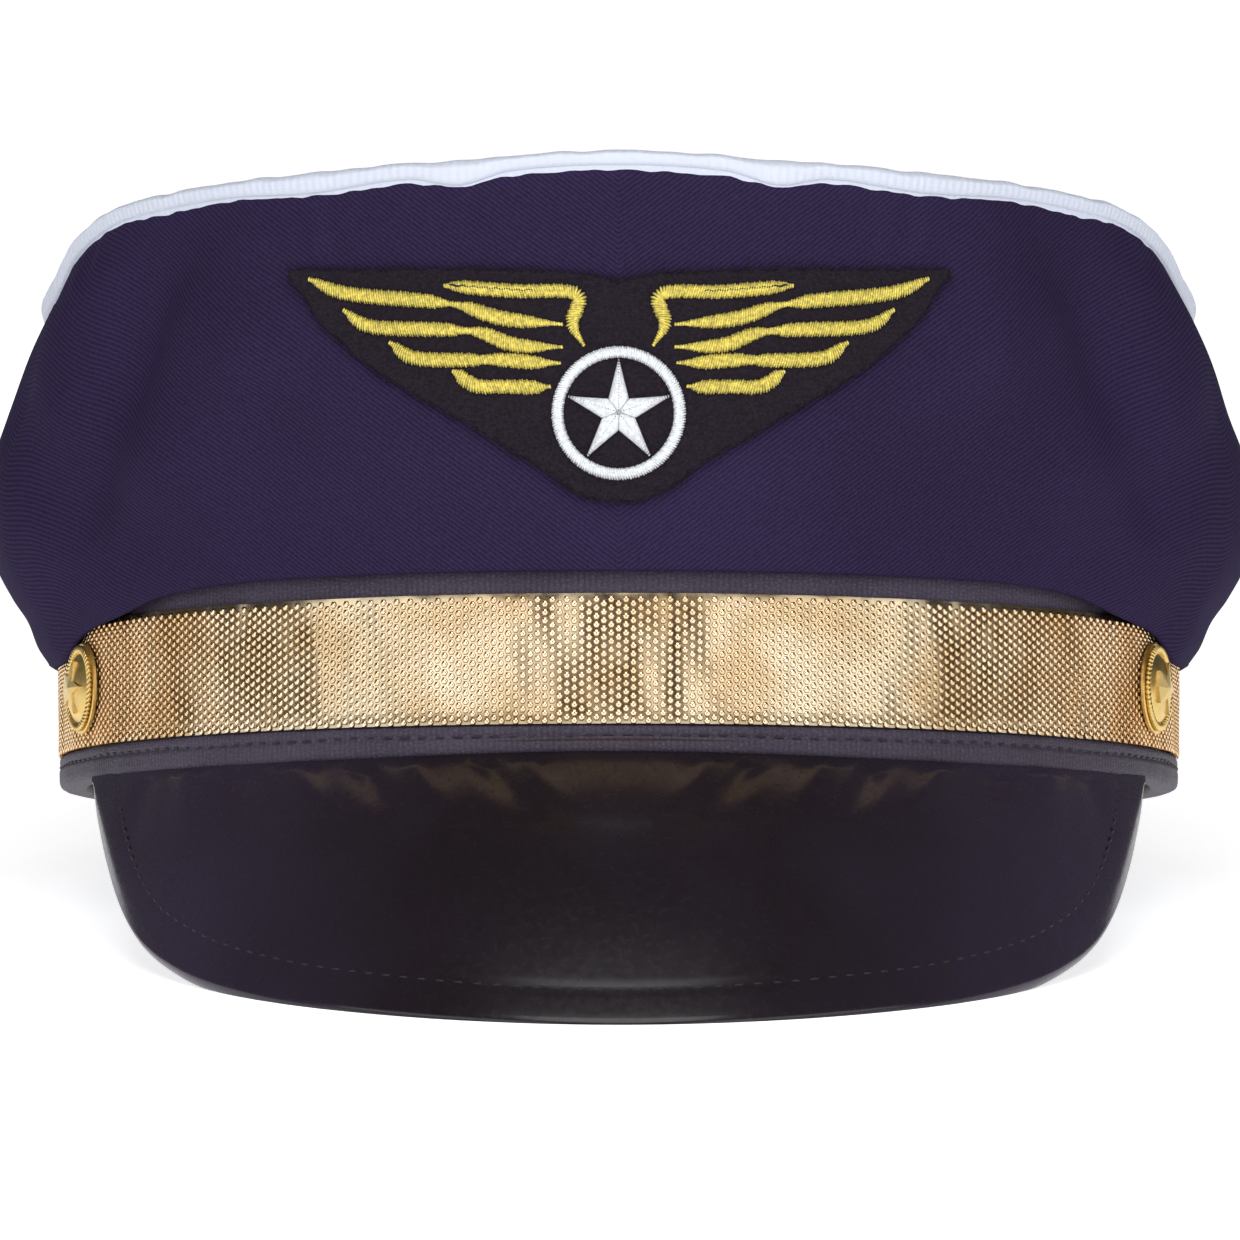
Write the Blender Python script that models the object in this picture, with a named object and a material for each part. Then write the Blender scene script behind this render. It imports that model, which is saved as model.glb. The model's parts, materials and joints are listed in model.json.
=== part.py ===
"""A pilot's peaked cap, at rest on the edge of its peak and on the back of its rim.

Metres, +Z up, the front towards -Y. Every piece is built in the frame of the head band,
whose origin is the middle of the lower rim. An empty then tips the whole cap back until
the peak's edge and the back of the rim both lie on the ground.
"""

import math

import bmesh
import bpy
from mathutils import Matrix, Vector

# Fineness and clearances
STATIONS = 72
GAP = 0.0003
BADGE_GAP = 0.0005

# Head band, measured on its outer face
BAND_HALF_WIDTH = 0.0892
BAND_HALF_LENGTH = 0.1003
BAND_HEIGHT = 0.0287
BAND_WALL = 0.0022

# How much higher the rim lies in the middle of the front than round the rest of the head
RIM_RISE = 0.0009

# Edging folded round the band's lower rim
BINDING_HEIGHT = 0.0049
BINDING_THICKNESS = 0.0009

# Gold strap round the band, from the edging up to where the band shows above it
BAND_ABOVE_STRAP = 0.0038
STRAP_THICKNESS = 0.0010

# Crown: cloth, height of its top seam in front, and how far it hangs and swells at its fullest
CLOTH = 0.0015
CROWN_FRONT_HEIGHT = 0.0895
CROWN_DROOP = 0.0102
CROWN_BULGE = 0.0100
FOLD_OUTSET = 0.0032
SEAM_OUTSET = 0.0034
POCKET_DEPTH = 0.0050
CROWN_FOLD_DEPTH = 0.0040

# White top
TOP_SAG = 0.0020
TOP_PUFF = 0.0036

# Peak: how far it reaches forward and down in the middle
PEAK_HALF_ANGLE = math.radians(66.5)
PEAK_REACH = 0.0377
PEAK_DROP = 0.0412
PEAK_THICKNESS = 0.0026
PEAK_CAMBER = 0.0026
PEAK_COLUMNS = 36

# Buttons
BUTTON_ANGLE = math.radians(68.0)
BUTTON_BELOW_STRAP_TOP = 0.0105
BUTTON_RADIUS = 0.0072
BUTTON_DEPTH = 0.0031
BUTTON_STAR_RADIUS = 0.0052
BUTTON_STAR_WAIST = 0.0020
BUTTON_STAR_RELIEF = 0.0004
BUTTON_SPOKES = 30
BUTTON_RING_SHARES = (
    # share of the radius, share of the depth, milling as a share of the depth
    (1.00, 0.00, 0.00),
    (1.00, 0.30, 0.00),
    (0.93, 0.42, 0.04),
    (0.86, 0.38, 0.00),
    (0.66, 0.66, 0.00),
    (0.44, 0.84, 0.00),
    (0.20, 0.94, 0.00),
)
STAR_ARMS = 5

# Badge on the crown's front, measured from the middle of its ring
BADGE_CENTRE_HEIGHT = 0.0516
PATCH_THICKNESS = 0.0009
THREAD_THICKNESS = 0.0009
WING_SPAN = 0.0470
WING_RISE = 0.0208
STROKE_WIDTH = 0.0018
BADGE_RING_RADIUS = 0.0092
BADGE_RING_WIDTH = 0.0018
BADGE_RING_STEPS = 32
BADGE_STAR_RADIUS = 0.0081
BADGE_STAR_WAIST = 0.0026

# How far the rim and the peak's edge are pressed flat where the cap rests
REST_PRESS = 0.0004

# Crown round the head, by degrees from the front: top seam as a share of CROWN_FRONT_HEIGHT,
# droop of CROWN_DROOP, swelling of CROWN_BULGE and puff of TOP_PUFF
CROWN_SECTION_SHARES = (
    # degrees, seam, droop, swell, puff
    (0, 1.000, 0.09, 0.22, 0.60),
    (10, 0.992, 0.09, 0.24, 0.62),
    (15, 0.973, 0.09, 0.25, 0.95),
    (20, 0.984, 0.09, 0.27, 0.66),
    (30, 0.972, 0.09, 0.30, 0.82),
    (40, 0.976, 0.10, 0.40, 0.66),
    (50, 0.971, 0.20, 0.55, 0.66),
    (58, 0.962, 0.42, 0.72, 0.70),
    (67, 0.925, 0.62, 0.90, 0.80),
    (75, 0.870, 0.98, 0.97, 0.80),
    (90, 0.845, 0.88, 1.00, 0.70),
    (120, 0.800, 0.90, 0.95, 0.75),
    (150, 0.740, 0.85, 0.85, 0.75),
    (180, 0.710, 0.75, 0.80, 0.75),
)

# Skin of the crown from its fold up to its seam
CROWN_PROFILE_SHARES = (
    # share of the height, share of the swelling
    (0.000, 0.00),
    (0.045, 0.17),
    (0.120, 0.34),
    (0.185, 0.58),
    (0.290, 0.86),
    (0.450, 1.00),
    (0.580, 0.95),
    (0.715, 0.77),
    (0.850, 0.48),
    (1.000, 0.00),
)
HOLLOW_FROM_ROW = 3

# Dents (negative) and drape folds (positive) in the crown, on both sides of the middle
CROWN_FOLD_SHARES = (
    # from degrees, from height share, to degrees, to height share, share of the depth, width in degrees
    (50, 0.78, 57, 0.32, -1.00, 7.0),
    (42, 0.66, 17, 0.20, 0.40, 6.0),
    (48, 0.30, 62, 0.22, 0.35, 8.0),
    (84, 0.80, 110, 0.70, -0.50, 8.0),
    (120, 0.35, 165, 0.30, 0.50, 9.0),
    (130, 0.65, 170, 0.62, -0.60, 9.0),
)

# White top, from the seam in to its middle, where it hangs slack
TOP_PROFILE_SHARES = (
    # share of the way in, share of the puff, share of the slack
    (-0.011, 0.35, 0.00),
    (-0.012, 0.68, 0.00),
    (0.002, 0.95, 0.00),
    (0.030, 1.00, 0.01),
    (0.100, 0.85, 0.13),
    (0.250, 0.50, 0.58),
    (0.550, 0.15, 1.00),
)
TOP_INNER_ROW = 4

# Peak's outer edge, from the middle to its end
PEAK_EDGE_SHARES = (
    # share of the half angle, share of the reach and of the drop
    (0.000, 1.000),
    (0.220, 0.977),
    (0.420, 0.930),
    (0.530, 0.892),
    (0.650, 0.828),
    (0.725, 0.767),
    (0.805, 0.670),
    (0.865, 0.538),
    (0.920, 0.355),
    (0.963, 0.179),
    (1.000, 0.025),
)
PEAK_ROW_SHARES = (0.0, 0.2, 0.45, 0.7, 0.9, 1.0)

# Outline of the badge's cloth, as shares of WING_SPAN across and WING_RISE up
PATCH_OUTLINE_SHARES = (
    # across, upper edge, lower edge
    (0.000, 0.949, -0.638),
    (0.061, 0.993, -0.623),
    (0.144, 1.019, -0.557),
    (0.269, 1.039, -0.359),
    (0.433, 1.055, -0.137),
    (0.572, 1.068, 0.057),
    (0.704, 1.082, 0.230),
    (0.821, 1.093, 0.419),
    (0.902, 1.102, 0.591),
    (0.971, 1.111, 0.748),
    (1.020, 1.117, 0.933),
    (1.073, 1.123, 1.083),
)
PATCH_CELLS = 4

# Gold strokes of one wing, as shares of WING_SPAN across and WING_RISE up, and how wide the
# waist is as a share of STROKE_WIDTH
WING_STROKE_SHARES = (
    # name, (across, up) at the tip, the shoulder, the waist, the belly and the root, waist width
    ("wing_hook", (0.559, 0.944), (0.337, 0.892), (0.138, 0.870), (0.147, 0.653), (0.112, 0.493), 1.0),
    ("feather_1", (1.002, 1.045), (0.876, 0.926), (0.543, 0.811), (0.375, 0.694), (0.183, 0.646), 0.4),
    ("feather_2", (0.888, 0.802), (0.789, 0.670), (0.472, 0.603), (0.337, 0.500), (0.183, 0.480), 0.5),
    ("feather_3", (0.737, 0.547), (0.643, 0.419), (0.375, 0.390), (0.279, 0.373), (0.189, 0.364), 0.7),
    ("feather_4", (0.531, 0.316), (0.459, 0.208), (0.375, 0.198), (0.295, 0.192), (0.221, 0.193), 1.0),
)
STROKE_STEPS = 13

# Width along a stroke, from its tip to its root
STROKE_OUTLINE_SHARES = (
    # share of the length, share of the width, share of the waist
    (0.00, 0.35, 0.0),
    (0.12, 1.00, 0.0),
    (0.34, 1.00, 0.0),
    (0.50, 1.00, 1.0),
    (0.66, 1.00, 0.0),
    (0.90, 1.00, 0.0),
    (1.00, 0.35, 0.0),
)

# Worked out from the sizes above
BINDING_OUTSET = GAP + BINDING_THICKNESS
STRAP_OUTSET = GAP + STRAP_THICKNESS
STRAP_FOOT = BINDING_HEIGHT + GAP
STRAP_TOP = BAND_HEIGHT - BAND_ABOVE_STRAP
BUTTON_CENTRE_HEIGHT = STRAP_TOP - BUTTON_BELOW_STRAP_TOP
CROWN_SEAT = BAND_HEIGHT + GAP
LEG_OUTSET = STRAP_OUTSET + GAP + BADGE_GAP / 2


def smooth_row(table, place):
    """The table's columns at a place in its first column, on a smooth curve through the rows."""
    last = len(table) - 1
    row = 0
    while row < last - 1 and place > table[row + 1][0]:
        row += 1
    before = table[max(row - 1, 0)]
    start = table[row]
    end = table[row + 1]
    after = table[min(row + 2, last)]
    step = end[0] - start[0]
    share = min(max((place - start[0]) / step, 0.0), 1.0)
    values = []
    for column in range(1, len(start)):
        slope_in = step * (end[column] - before[column]) / (end[0] - before[0])
        slope_out = step * (after[column] - start[column]) / (after[0] - start[0])
        if row == 0:
            slope_in = 0.0
        if row == last - 1:
            slope_out = 0.0
        rise = end[column] - start[column]
        cubic = slope_in + slope_out - 2 * rise
        square = 3 * rise - 2 * slope_in - slope_out
        values.append(((cubic * share + square) * share + slope_in) * share + start[column])
    return values


def straight_row(table, place):
    """The table's columns at a place in its first column, on straight lines between the rows."""
    row = 0
    while row < len(table) - 2 and place > table[row + 1][0]:
        row += 1
    start = table[row]
    end = table[row + 1]
    share = (place - start[0]) / (end[0] - start[0])
    return [start[column] + share * (end[column] - start[column]) for column in range(1, len(start))]


def around(angle, outset, height):
    """A point at an angle from the front, outset from the band's outer face, above the rim."""
    sine = math.sin(angle)
    cosine = math.cos(angle)
    foot = Vector((BAND_HALF_WIDTH * sine, -BAND_HALF_LENGTH * cosine, height))
    return foot + outset * outward(angle)


def outward(angle):
    """The level direction that points straight out of the band at an angle from the front."""
    across = BAND_HALF_LENGTH * math.sin(angle)
    along = -BAND_HALF_WIDTH * math.cos(angle)
    return Vector((across, along, 0.0)).normalized()


def degrees_from_front(angle):
    """How far round an angle lies from the front, from 0 to 180 degrees on either side."""
    return abs(math.degrees(math.atan2(math.sin(angle), math.cos(angle))))


def fold_relief(degrees, height_share):
    """How far the dents and drape folds move the crown's skin."""
    relief = 0.0
    full_height = math.degrees((CROWN_FRONT_HEIGHT - CROWN_SEAT) / BAND_HALF_WIDTH)
    up = height_share * full_height
    for from_degrees, from_share, to_degrees, to_share, depth, width in CROWN_FOLD_SHARES:
        along = to_degrees - from_degrees
        climb = (to_share - from_share) * full_height
        off_along = degrees - from_degrees
        off_up = up - from_share * full_height
        reach = (off_along * along + off_up * climb) / (along * along + climb * climb)
        reach = min(max(reach, 0.0), 1.0)
        distance = math.hypot(off_along - reach * along, off_up - reach * climb)
        relief += depth * math.exp(-((distance / width) ** 2))
    edge_fade = math.sin(math.pi * min(max(height_share, 0.0), 1.0)) ** 0.6
    return CROWN_FOLD_DEPTH * relief * edge_fade


def crown_limits(angle):
    """Heights of the crown's fold and of its top seam, its swelling, and the puff of the top."""
    seam, droop, swell, puff = smooth_row(CROWN_SECTION_SHARES, degrees_from_front(angle))
    fold_height = CROWN_SEAT - CROWN_DROOP * droop
    return fold_height, CROWN_FRONT_HEIGHT * seam, CROWN_BULGE * swell, TOP_PUFF * puff


def skin_outset(angle, share):
    """How far the crown's outer skin stands out from the band at a share of its height."""
    swell = crown_limits(angle)[2]
    base = FOLD_OUTSET + share * (SEAM_OUTSET - FOLD_OUTSET)
    bulge = swell * straight_row(CROWN_PROFILE_SHARES, share)[0]
    return base + bulge + fold_relief(degrees_from_front(angle), share)


def crown_section(angle):
    """Corners of the crown's cloth: seat on the band, leg, fold, outer skin, seam, inner skin."""
    fold_height, seam_height, _, _ = crown_limits(angle)
    tall = seam_height - fold_height
    corners = [
        (-BAND_WALL, CROWN_SEAT),
        (LEG_OUTSET, CROWN_SEAT),
        (LEG_OUTSET, fold_height + 0.4 * CLOTH),
        (LEG_OUTSET + 0.5 * CLOTH, fold_height),
    ]
    for share, _ in CROWN_PROFILE_SHARES:
        lift = 0.4 * CLOTH * (1 - share)
        corners.append((skin_outset(angle, share), fold_height + lift + tall * share))
    for share, _ in reversed(CROWN_PROFILE_SHARES[HOLLOW_FROM_ROW:]):
        corners.append((skin_outset(angle, share) - CLOTH, fold_height + tall * share))
    pocket_share = POCKET_DEPTH / tall
    pocket_outset = skin_outset(angle, pocket_share) - CLOTH
    corners.append((pocket_outset, fold_height + POCKET_DEPTH))
    corners.append((min(LEG_OUTSET + CLOTH, pocket_outset), CROWN_SEAT + CLOTH))
    corners.append((-BAND_WALL, CROWN_SEAT + CLOTH))
    return corners


def rim_height(angle):
    """Height of the rim's lower edge, which lifts a little over the middle of the peak."""
    return RIM_RISE * max(0.0, math.cos(angle)) ** 12


def band_section(angle):
    """Corners of the band's wall, standing in the fold of the edging."""
    foot = rim_height(angle) + BINDING_THICKNESS + GAP
    return [(0, foot), (0, BAND_HEIGHT), (-BAND_WALL, BAND_HEIGHT), (-BAND_WALL, foot)]


def binding_section(angle):
    """Corners of the edging, a channel round the band's lower rim."""
    foot = rim_height(angle)
    inner = -BAND_WALL - GAP
    return [
        (BINDING_OUTSET, foot),
        (BINDING_OUTSET, BINDING_HEIGHT),
        (GAP, BINDING_HEIGHT),
        (GAP, foot + BINDING_THICKNESS),
        (inner, foot + BINDING_THICKNESS),
        (inner, BINDING_HEIGHT),
        (inner - BINDING_THICKNESS, BINDING_HEIGHT),
        (inner - BINDING_THICKNESS, foot),
    ]


def strap_section(_angle):
    """Corners of the flat gold strap."""
    return [
        (STRAP_OUTSET, STRAP_FOOT),
        (STRAP_OUTSET, STRAP_TOP),
        (GAP, STRAP_TOP),
        (GAP, STRAP_FOOT),
    ]


def join_loops(mesh, loops, closed):
    """Faces between loops of corners, round to the first loop again or with both ends filled."""
    pairs = list(zip(loops, loops[1:]))
    if closed:
        pairs.append((loops[-1], loops[0]))
    for here, there in pairs:
        for corner in range(len(here)):
            following = (corner + 1) % len(here)
            mesh.faces.new((here[corner], there[corner], there[following], here[following]))
    if not closed:
        mesh.faces.new(loops[0])
        mesh.faces.new(tuple(reversed(loops[-1])))


def add_object(name, mesh, surface):
    """A smooth-shaded object from a closed bmesh, with its faces pointing outwards."""
    bmesh.ops.recalc_face_normals(mesh, faces=mesh.faces)
    data = bpy.data.meshes.new(name)
    mesh.to_mesh(data)
    mesh.free()
    data.shade_smooth()
    data.set_sharp_from_angle(angle=math.radians(40))
    data.materials.append(surface)
    made = bpy.data.objects.new(name, data)
    bpy.context.collection.objects.link(made)
    return made


def ring_piece(name, section, surface):
    """A piece that runs all round the cap, from its section at each angle."""
    mesh = bmesh.new()
    loops = []
    for station in range(STATIONS):
        angle = math.tau * station / STATIONS
        points = [around(angle, outset, height) for outset, height in section(angle)]
        loops.append([mesh.verts.new(point) for point in points])
    join_loops(mesh, loops, closed=True)
    return add_object(name, mesh, surface)


def settled_height(along):
    """Height of the white top's slack middle, which slopes from the front down to the back."""
    front = crown_limits(0.0)[1]
    back = crown_limits(math.pi)[1]
    half_length = BAND_HALF_LENGTH + SEAM_OUTSET
    return (front + back) / 2 - (front - back) / 2 * along / half_length - TOP_SAG


def top_ring(mesh, share, puff_share, slack, drop):
    """A ring of the white top, a share of the way in from the seam, dropped from its upper face."""
    corners = []
    for station in range(STATIONS):
        angle = math.tau * station / STATIONS
        _, seam_height, _, puff = crown_limits(angle)
        place = (1 - share) * around(angle, SEAM_OUTSET, 0)
        base = seam_height + slack * (settled_height(place.y) - seam_height)
        corners.append(mesh.verts.new((place.x, place.y, base + GAP + puff_share * puff - drop)))
    return corners


def close_with_pole(mesh, ring, height):
    """A fan of faces from a ring to a point in the middle."""
    pole = mesh.verts.new((0, 0, height))
    for corner in range(len(ring)):
        mesh.faces.new((ring[corner], ring[(corner + 1) % len(ring)], pole))


def crown_top(surface):
    """The white top, a shell that puffs up just inside the seam."""
    mesh = bmesh.new()
    loops = [top_ring(mesh, *row, CLOTH) for row in reversed(TOP_PROFILE_SHARES[TOP_INNER_ROW:])]
    loops.append(top_ring(mesh, CLOTH / BAND_HALF_WIDTH, 0.0, 0.0, 0.0))
    loops.append(top_ring(mesh, 0.0, 0.0, 0.0, 0.0))
    loops.extend(top_ring(mesh, *row, 0.0) for row in TOP_PROFILE_SHARES)
    for here, there in zip(loops, loops[1:]):
        for corner in range(STATIONS):
            following = (corner + 1) % STATIONS
            mesh.faces.new((here[corner], there[corner], there[following], here[following]))
    close_with_pole(mesh, loops[0], settled_height(0.0) + GAP - CLOTH)
    close_with_pole(mesh, loops[-1], settled_height(0.0) + GAP)
    return add_object("crown_top", mesh, surface)


def peak_root(angle):
    """Where the peak's upper face starts, just under the edging."""
    return around(angle, BINDING_OUTSET, rim_height(angle) - GAP)


def peak_edge_point(angle):
    """The tip of the peak's upper face at an angle from the front."""
    length = smooth_row(PEAK_EDGE_SHARES, abs(angle) / PEAK_HALF_ANGLE)[0]
    return around(angle, BINDING_OUTSET, -GAP) + length * Vector((0.0, -PEAK_REACH, -PEAK_DROP))


def peak_surface(angle, share):
    """A point of the peak's upper face, and the direction out of it."""
    root = peak_root(angle)
    ruling = peak_edge_point(angle) - root
    step = math.radians(1.0)
    beside = peak_root(angle + step) - peak_root(angle - step)
    normal = ruling.cross(beside).normalized()
    if normal.z < 0:
        normal.negate()
    camber = PEAK_CAMBER * ruling.length / math.hypot(PEAK_REACH, PEAK_DROP)
    return root + share * ruling + camber * math.sin(math.pi * share) * normal, normal


def rest_angle():
    """How far the cap tips back, so that the peak's edge and the back of the rim touch the ground."""
    back = BAND_HALF_LENGTH + BINDING_OUTSET
    angles = []
    for column in range(PEAK_COLUMNS + 1):
        tip = peak_edge_point(PEAK_HALF_ANGLE * (2 * column / PEAK_COLUMNS - 1))
        angles.append(math.atan2(-tip.z, back - tip.y))
    return max(angles)


def peak(surface):
    """The peak, a stiff sheet with its outer edge cut level with the ground."""
    mesh = bmesh.new()
    level = Vector((0.0, math.cos(rest_angle()), math.sin(rest_angle())))
    loops = []
    for column in range(PEAK_COLUMNS + 1):
        angle = PEAK_HALF_ANGLE * (2 * column / PEAK_COLUMNS - 1)
        upper = []
        lower = []
        for share in PEAK_ROW_SHARES:
            point, normal = peak_surface(angle, share)
            upper.append(mesh.verts.new(point))
            if share == 1.0:
                inwards = level * PEAK_THICKNESS / max(abs(level.dot(normal)), 0.5)
                lower.append(mesh.verts.new(point + inwards))
            else:
                lower.append(mesh.verts.new(point - PEAK_THICKNESS * normal))
        loops.append(upper + lower[::-1])
    join_loops(mesh, loops, closed=False)
    return add_object("peak", mesh, surface)


def star_reach(turn, tip, waist):
    """Distance from the middle to the edge of a straight-sided star, at an angle round it."""
    half = math.pi / STAR_ARMS
    off_tip = abs((turn + half) % (2 * half) - half)
    run = waist * math.sin(half)
    rise = tip - waist * math.cos(half)
    return tip * run / (run * math.cos(off_tip) + rise * math.sin(off_tip))


def button(name, side, surface):
    """A domed button with a milled rim and a raised star, facing straight out of the strap."""
    mesh = bmesh.new()
    loops = []
    for radius_share, depth_share, milling in BUTTON_RING_SHARES:
        corners = []
        for spoke in range(BUTTON_SPOKES):
            turn = math.tau * spoke / BUTTON_SPOKES
            radius = BUTTON_RADIUS * radius_share
            star = star_reach(turn - math.pi / 2, BUTTON_STAR_RADIUS, BUTTON_STAR_WAIST)
            relief = BUTTON_STAR_RELIEF * max(0.0, 1.0 - radius / star)
            height = BUTTON_DEPTH * (depth_share + milling * (-1) ** spoke) + relief
            corners.append(mesh.verts.new((radius * math.cos(turn), radius * math.sin(turn), height)))
        loops.append(corners)
    for here, there in zip(loops, loops[1:]):
        for corner in range(BUTTON_SPOKES):
            following = (corner + 1) % BUTTON_SPOKES
            mesh.faces.new((here[corner], here[following], there[following], there[corner]))
    mesh.faces.new(tuple(reversed(loops[0])))
    close_with_pole(mesh, loops[-1], BUTTON_DEPTH + 0.9 * BUTTON_STAR_RELIEF)
    made = add_object(name, mesh, surface)
    angle = side * BUTTON_ANGLE
    out = outward(angle)
    across = Vector((0, 0, 1)).cross(out)
    made.matrix_world = Matrix.Translation(around(angle, STRAP_OUTSET + GAP, BUTTON_CENTRE_HEIGHT)) @ Matrix(
        (
            (across.x, 0, out.x, 0),
            (across.y, 0, out.y, 0),
            (across.z, 1, out.z, 0),
            (0, 0, 0, 1),
        )
    )
    return made


def on_front(across, up, lift):
    """The point of the crown's front skin straight behind (across, up), lifted off the cloth."""
    height = BADGE_CENTRE_HEIGHT + up
    angle = math.asin(across / BAND_HALF_WIDTH)
    for _ in range(8):
        fold_height, seam_height, _, _ = crown_limits(angle)
        share = (height - fold_height) / (seam_height - fold_height)
        point = around(angle, skin_outset(angle, share) + lift, height)
        angle += (across - point.x) / (BAND_HALF_WIDTH * math.cos(angle))
    return point


def badge_patch(surface):
    """The dark cloth behind the badge, bent to the crown's front."""
    mesh = bmesh.new()
    columns = [(-row[0], row[1], row[2]) for row in reversed(PATCH_OUTLINE_SHARES[1:])]
    columns.extend(PATCH_OUTLINE_SHARES)
    loops = []
    for across, upper, lower in columns:
        front = []
        back = []
        for cell in range(PATCH_CELLS + 1):
            up = WING_RISE * (lower + (upper - lower) * cell / PATCH_CELLS)
            front.append(mesh.verts.new(on_front(across * WING_SPAN, up, BADGE_GAP + PATCH_THICKNESS)))
            back.append(mesh.verts.new(on_front(across * WING_SPAN, up, BADGE_GAP)))
        loops.append(front + back[::-1])
    join_loops(mesh, loops, closed=False)
    return add_object("badge_patch", mesh, surface)


def stroke_path(places):
    """Points along a smooth stroke through its places, from the tip to the root."""
    parts = len(places) - 1
    points = []
    for step in range(STROKE_STEPS):
        place = parts * step / (STROKE_STEPS - 1)
        part = min(int(place), parts - 1)
        share = place - part
        before = places[max(part - 1, 0)]
        start = places[part]
        end = places[part + 1]
        after = places[min(part + 2, parts)]
        slope_in = (end - before) / 2
        slope_out = (after - start) / 2
        rise = end - start
        cubic = slope_in + slope_out - 2 * rise
        square = 3 * rise - 2 * slope_in - slope_out
        points.append(((cubic * share + square) * share + slope_in) * share + start)
    return points


def stroke_fullness(share, waist):
    """Width of a stroke as a share of the full one: narrow at the tip, waisted, rounded off."""
    width, waisted = straight_row(STROKE_OUTLINE_SHARES, share)
    return width * (1 - (1 - waist) * waisted)


def wing_stroke(name, side, places, waist, surface):
    """One padded stroke of gold thread."""
    mesh = bmesh.new()
    path = stroke_path(places)
    base = 2 * BADGE_GAP + PATCH_THICKNESS
    loops = []
    for step, place in enumerate(path):
        ahead = path[min(step + 1, STROKE_STEPS - 1)] - path[max(step - 1, 0)]
        beside = Vector((-ahead.y, ahead.x)).normalized()
        full = stroke_fullness(step / (STROKE_STEPS - 1), waist)
        half = 0.5 * STROKE_WIDTH * full
        corners = []
        for offset, lift in ((-1, 0.0), (-0.45, 1.0), (0.45, 1.0), (1, 0.0)):
            point = place + offset * half * beside
            raised = base + lift * THREAD_THICKNESS * full
            corners.append(mesh.verts.new(on_front(side * point.x, point.y, raised)))
        loops.append(corners)
    join_loops(mesh, loops, closed=False)
    return add_object(name, mesh, surface)


def badge_ring(surface):
    """The white embroidered ring round the star."""
    mesh = bmesh.new()
    base = 2 * BADGE_GAP + PATCH_THICKNESS
    loops = []
    for step in range(BADGE_RING_STEPS):
        turn = math.tau * step / BADGE_RING_STEPS
        corners = []
        for offset, lift in ((-0.5, 0.0), (-0.25, 1.0), (0.25, 1.0), (0.5, 0.0)):
            radius = BADGE_RING_RADIUS + offset * BADGE_RING_WIDTH
            raised = base + lift * THREAD_THICKNESS
            point = on_front(radius * math.cos(turn), radius * math.sin(turn), raised)
            corners.append(mesh.verts.new(point))
        loops.append(corners)
    join_loops(mesh, loops, closed=True)
    return add_object("badge_ring", mesh, surface)


def badge_star(surface):
    """The white embroidered star, with a ridge down each arm."""
    mesh = bmesh.new()
    base = 2 * BADGE_GAP + PATCH_THICKNESS
    upper = []
    lower = []
    for point in range(2 * STAR_ARMS):
        turn = math.pi / 2 + math.pi * point / STAR_ARMS
        radius = BADGE_STAR_RADIUS if point % 2 == 0 else BADGE_STAR_WAIST
        across = radius * math.cos(turn)
        up = radius * math.sin(turn)
        upper.append(mesh.verts.new(on_front(across, up, base + 0.4 * THREAD_THICKNESS)))
        lower.append(mesh.verts.new(on_front(across, up, base)))
    top = mesh.verts.new(on_front(0, 0, base + 1.2 * THREAD_THICKNESS))
    for point in range(2 * STAR_ARMS):
        following = (point + 1) % (2 * STAR_ARMS)
        mesh.faces.new((upper[point], upper[following], top))
        mesh.faces.new((lower[point], lower[following], upper[following], upper[point]))
    mesh.faces.new(tuple(reversed(lower)))
    return add_object("badge_star", mesh, surface)


def wings(surface):
    """Both wings of the badge, stroke by stroke."""
    made = []
    for side, side_name in ((-1, "left"), (1, "right")):
        for name, *shares, waist in WING_STROKE_SHARES:
            places = [Vector((across * WING_SPAN, up * WING_RISE)) for across, up in shares]
            made.append(wing_stroke(f"{name}_{side_name}", side, places, waist, surface))
    return made


def finish(name, colour, roughness, metallic=0.0):
    """A plain material."""
    surface = bpy.data.materials.new(name)
    surface.use_nodes = True
    shader = surface.node_tree.nodes["Principled BSDF"]
    shader.inputs["Base Color"].default_value = (*colour, 1.0)
    shader.inputs["Roughness"].default_value = roughness
    shader.inputs["Metallic"].default_value = metallic
    return surface


def press_on_ground(pieces, tilt):
    """Flattens what would lie under the ground, which is the lowest of the rim and of the peak."""
    upwards = Vector((0.0, -math.sin(tilt), math.cos(tilt)))
    ground = upwards.dot(Vector((0, BAND_HALF_LENGTH + BINDING_OUTSET, 0))) + REST_PRESS
    for piece in pieces:
        for vertex in piece.data.vertices:
            depth = ground - upwards.dot(vertex.co)
            if depth > 0:
                vertex.co += depth * upwards
    return ground


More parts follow.
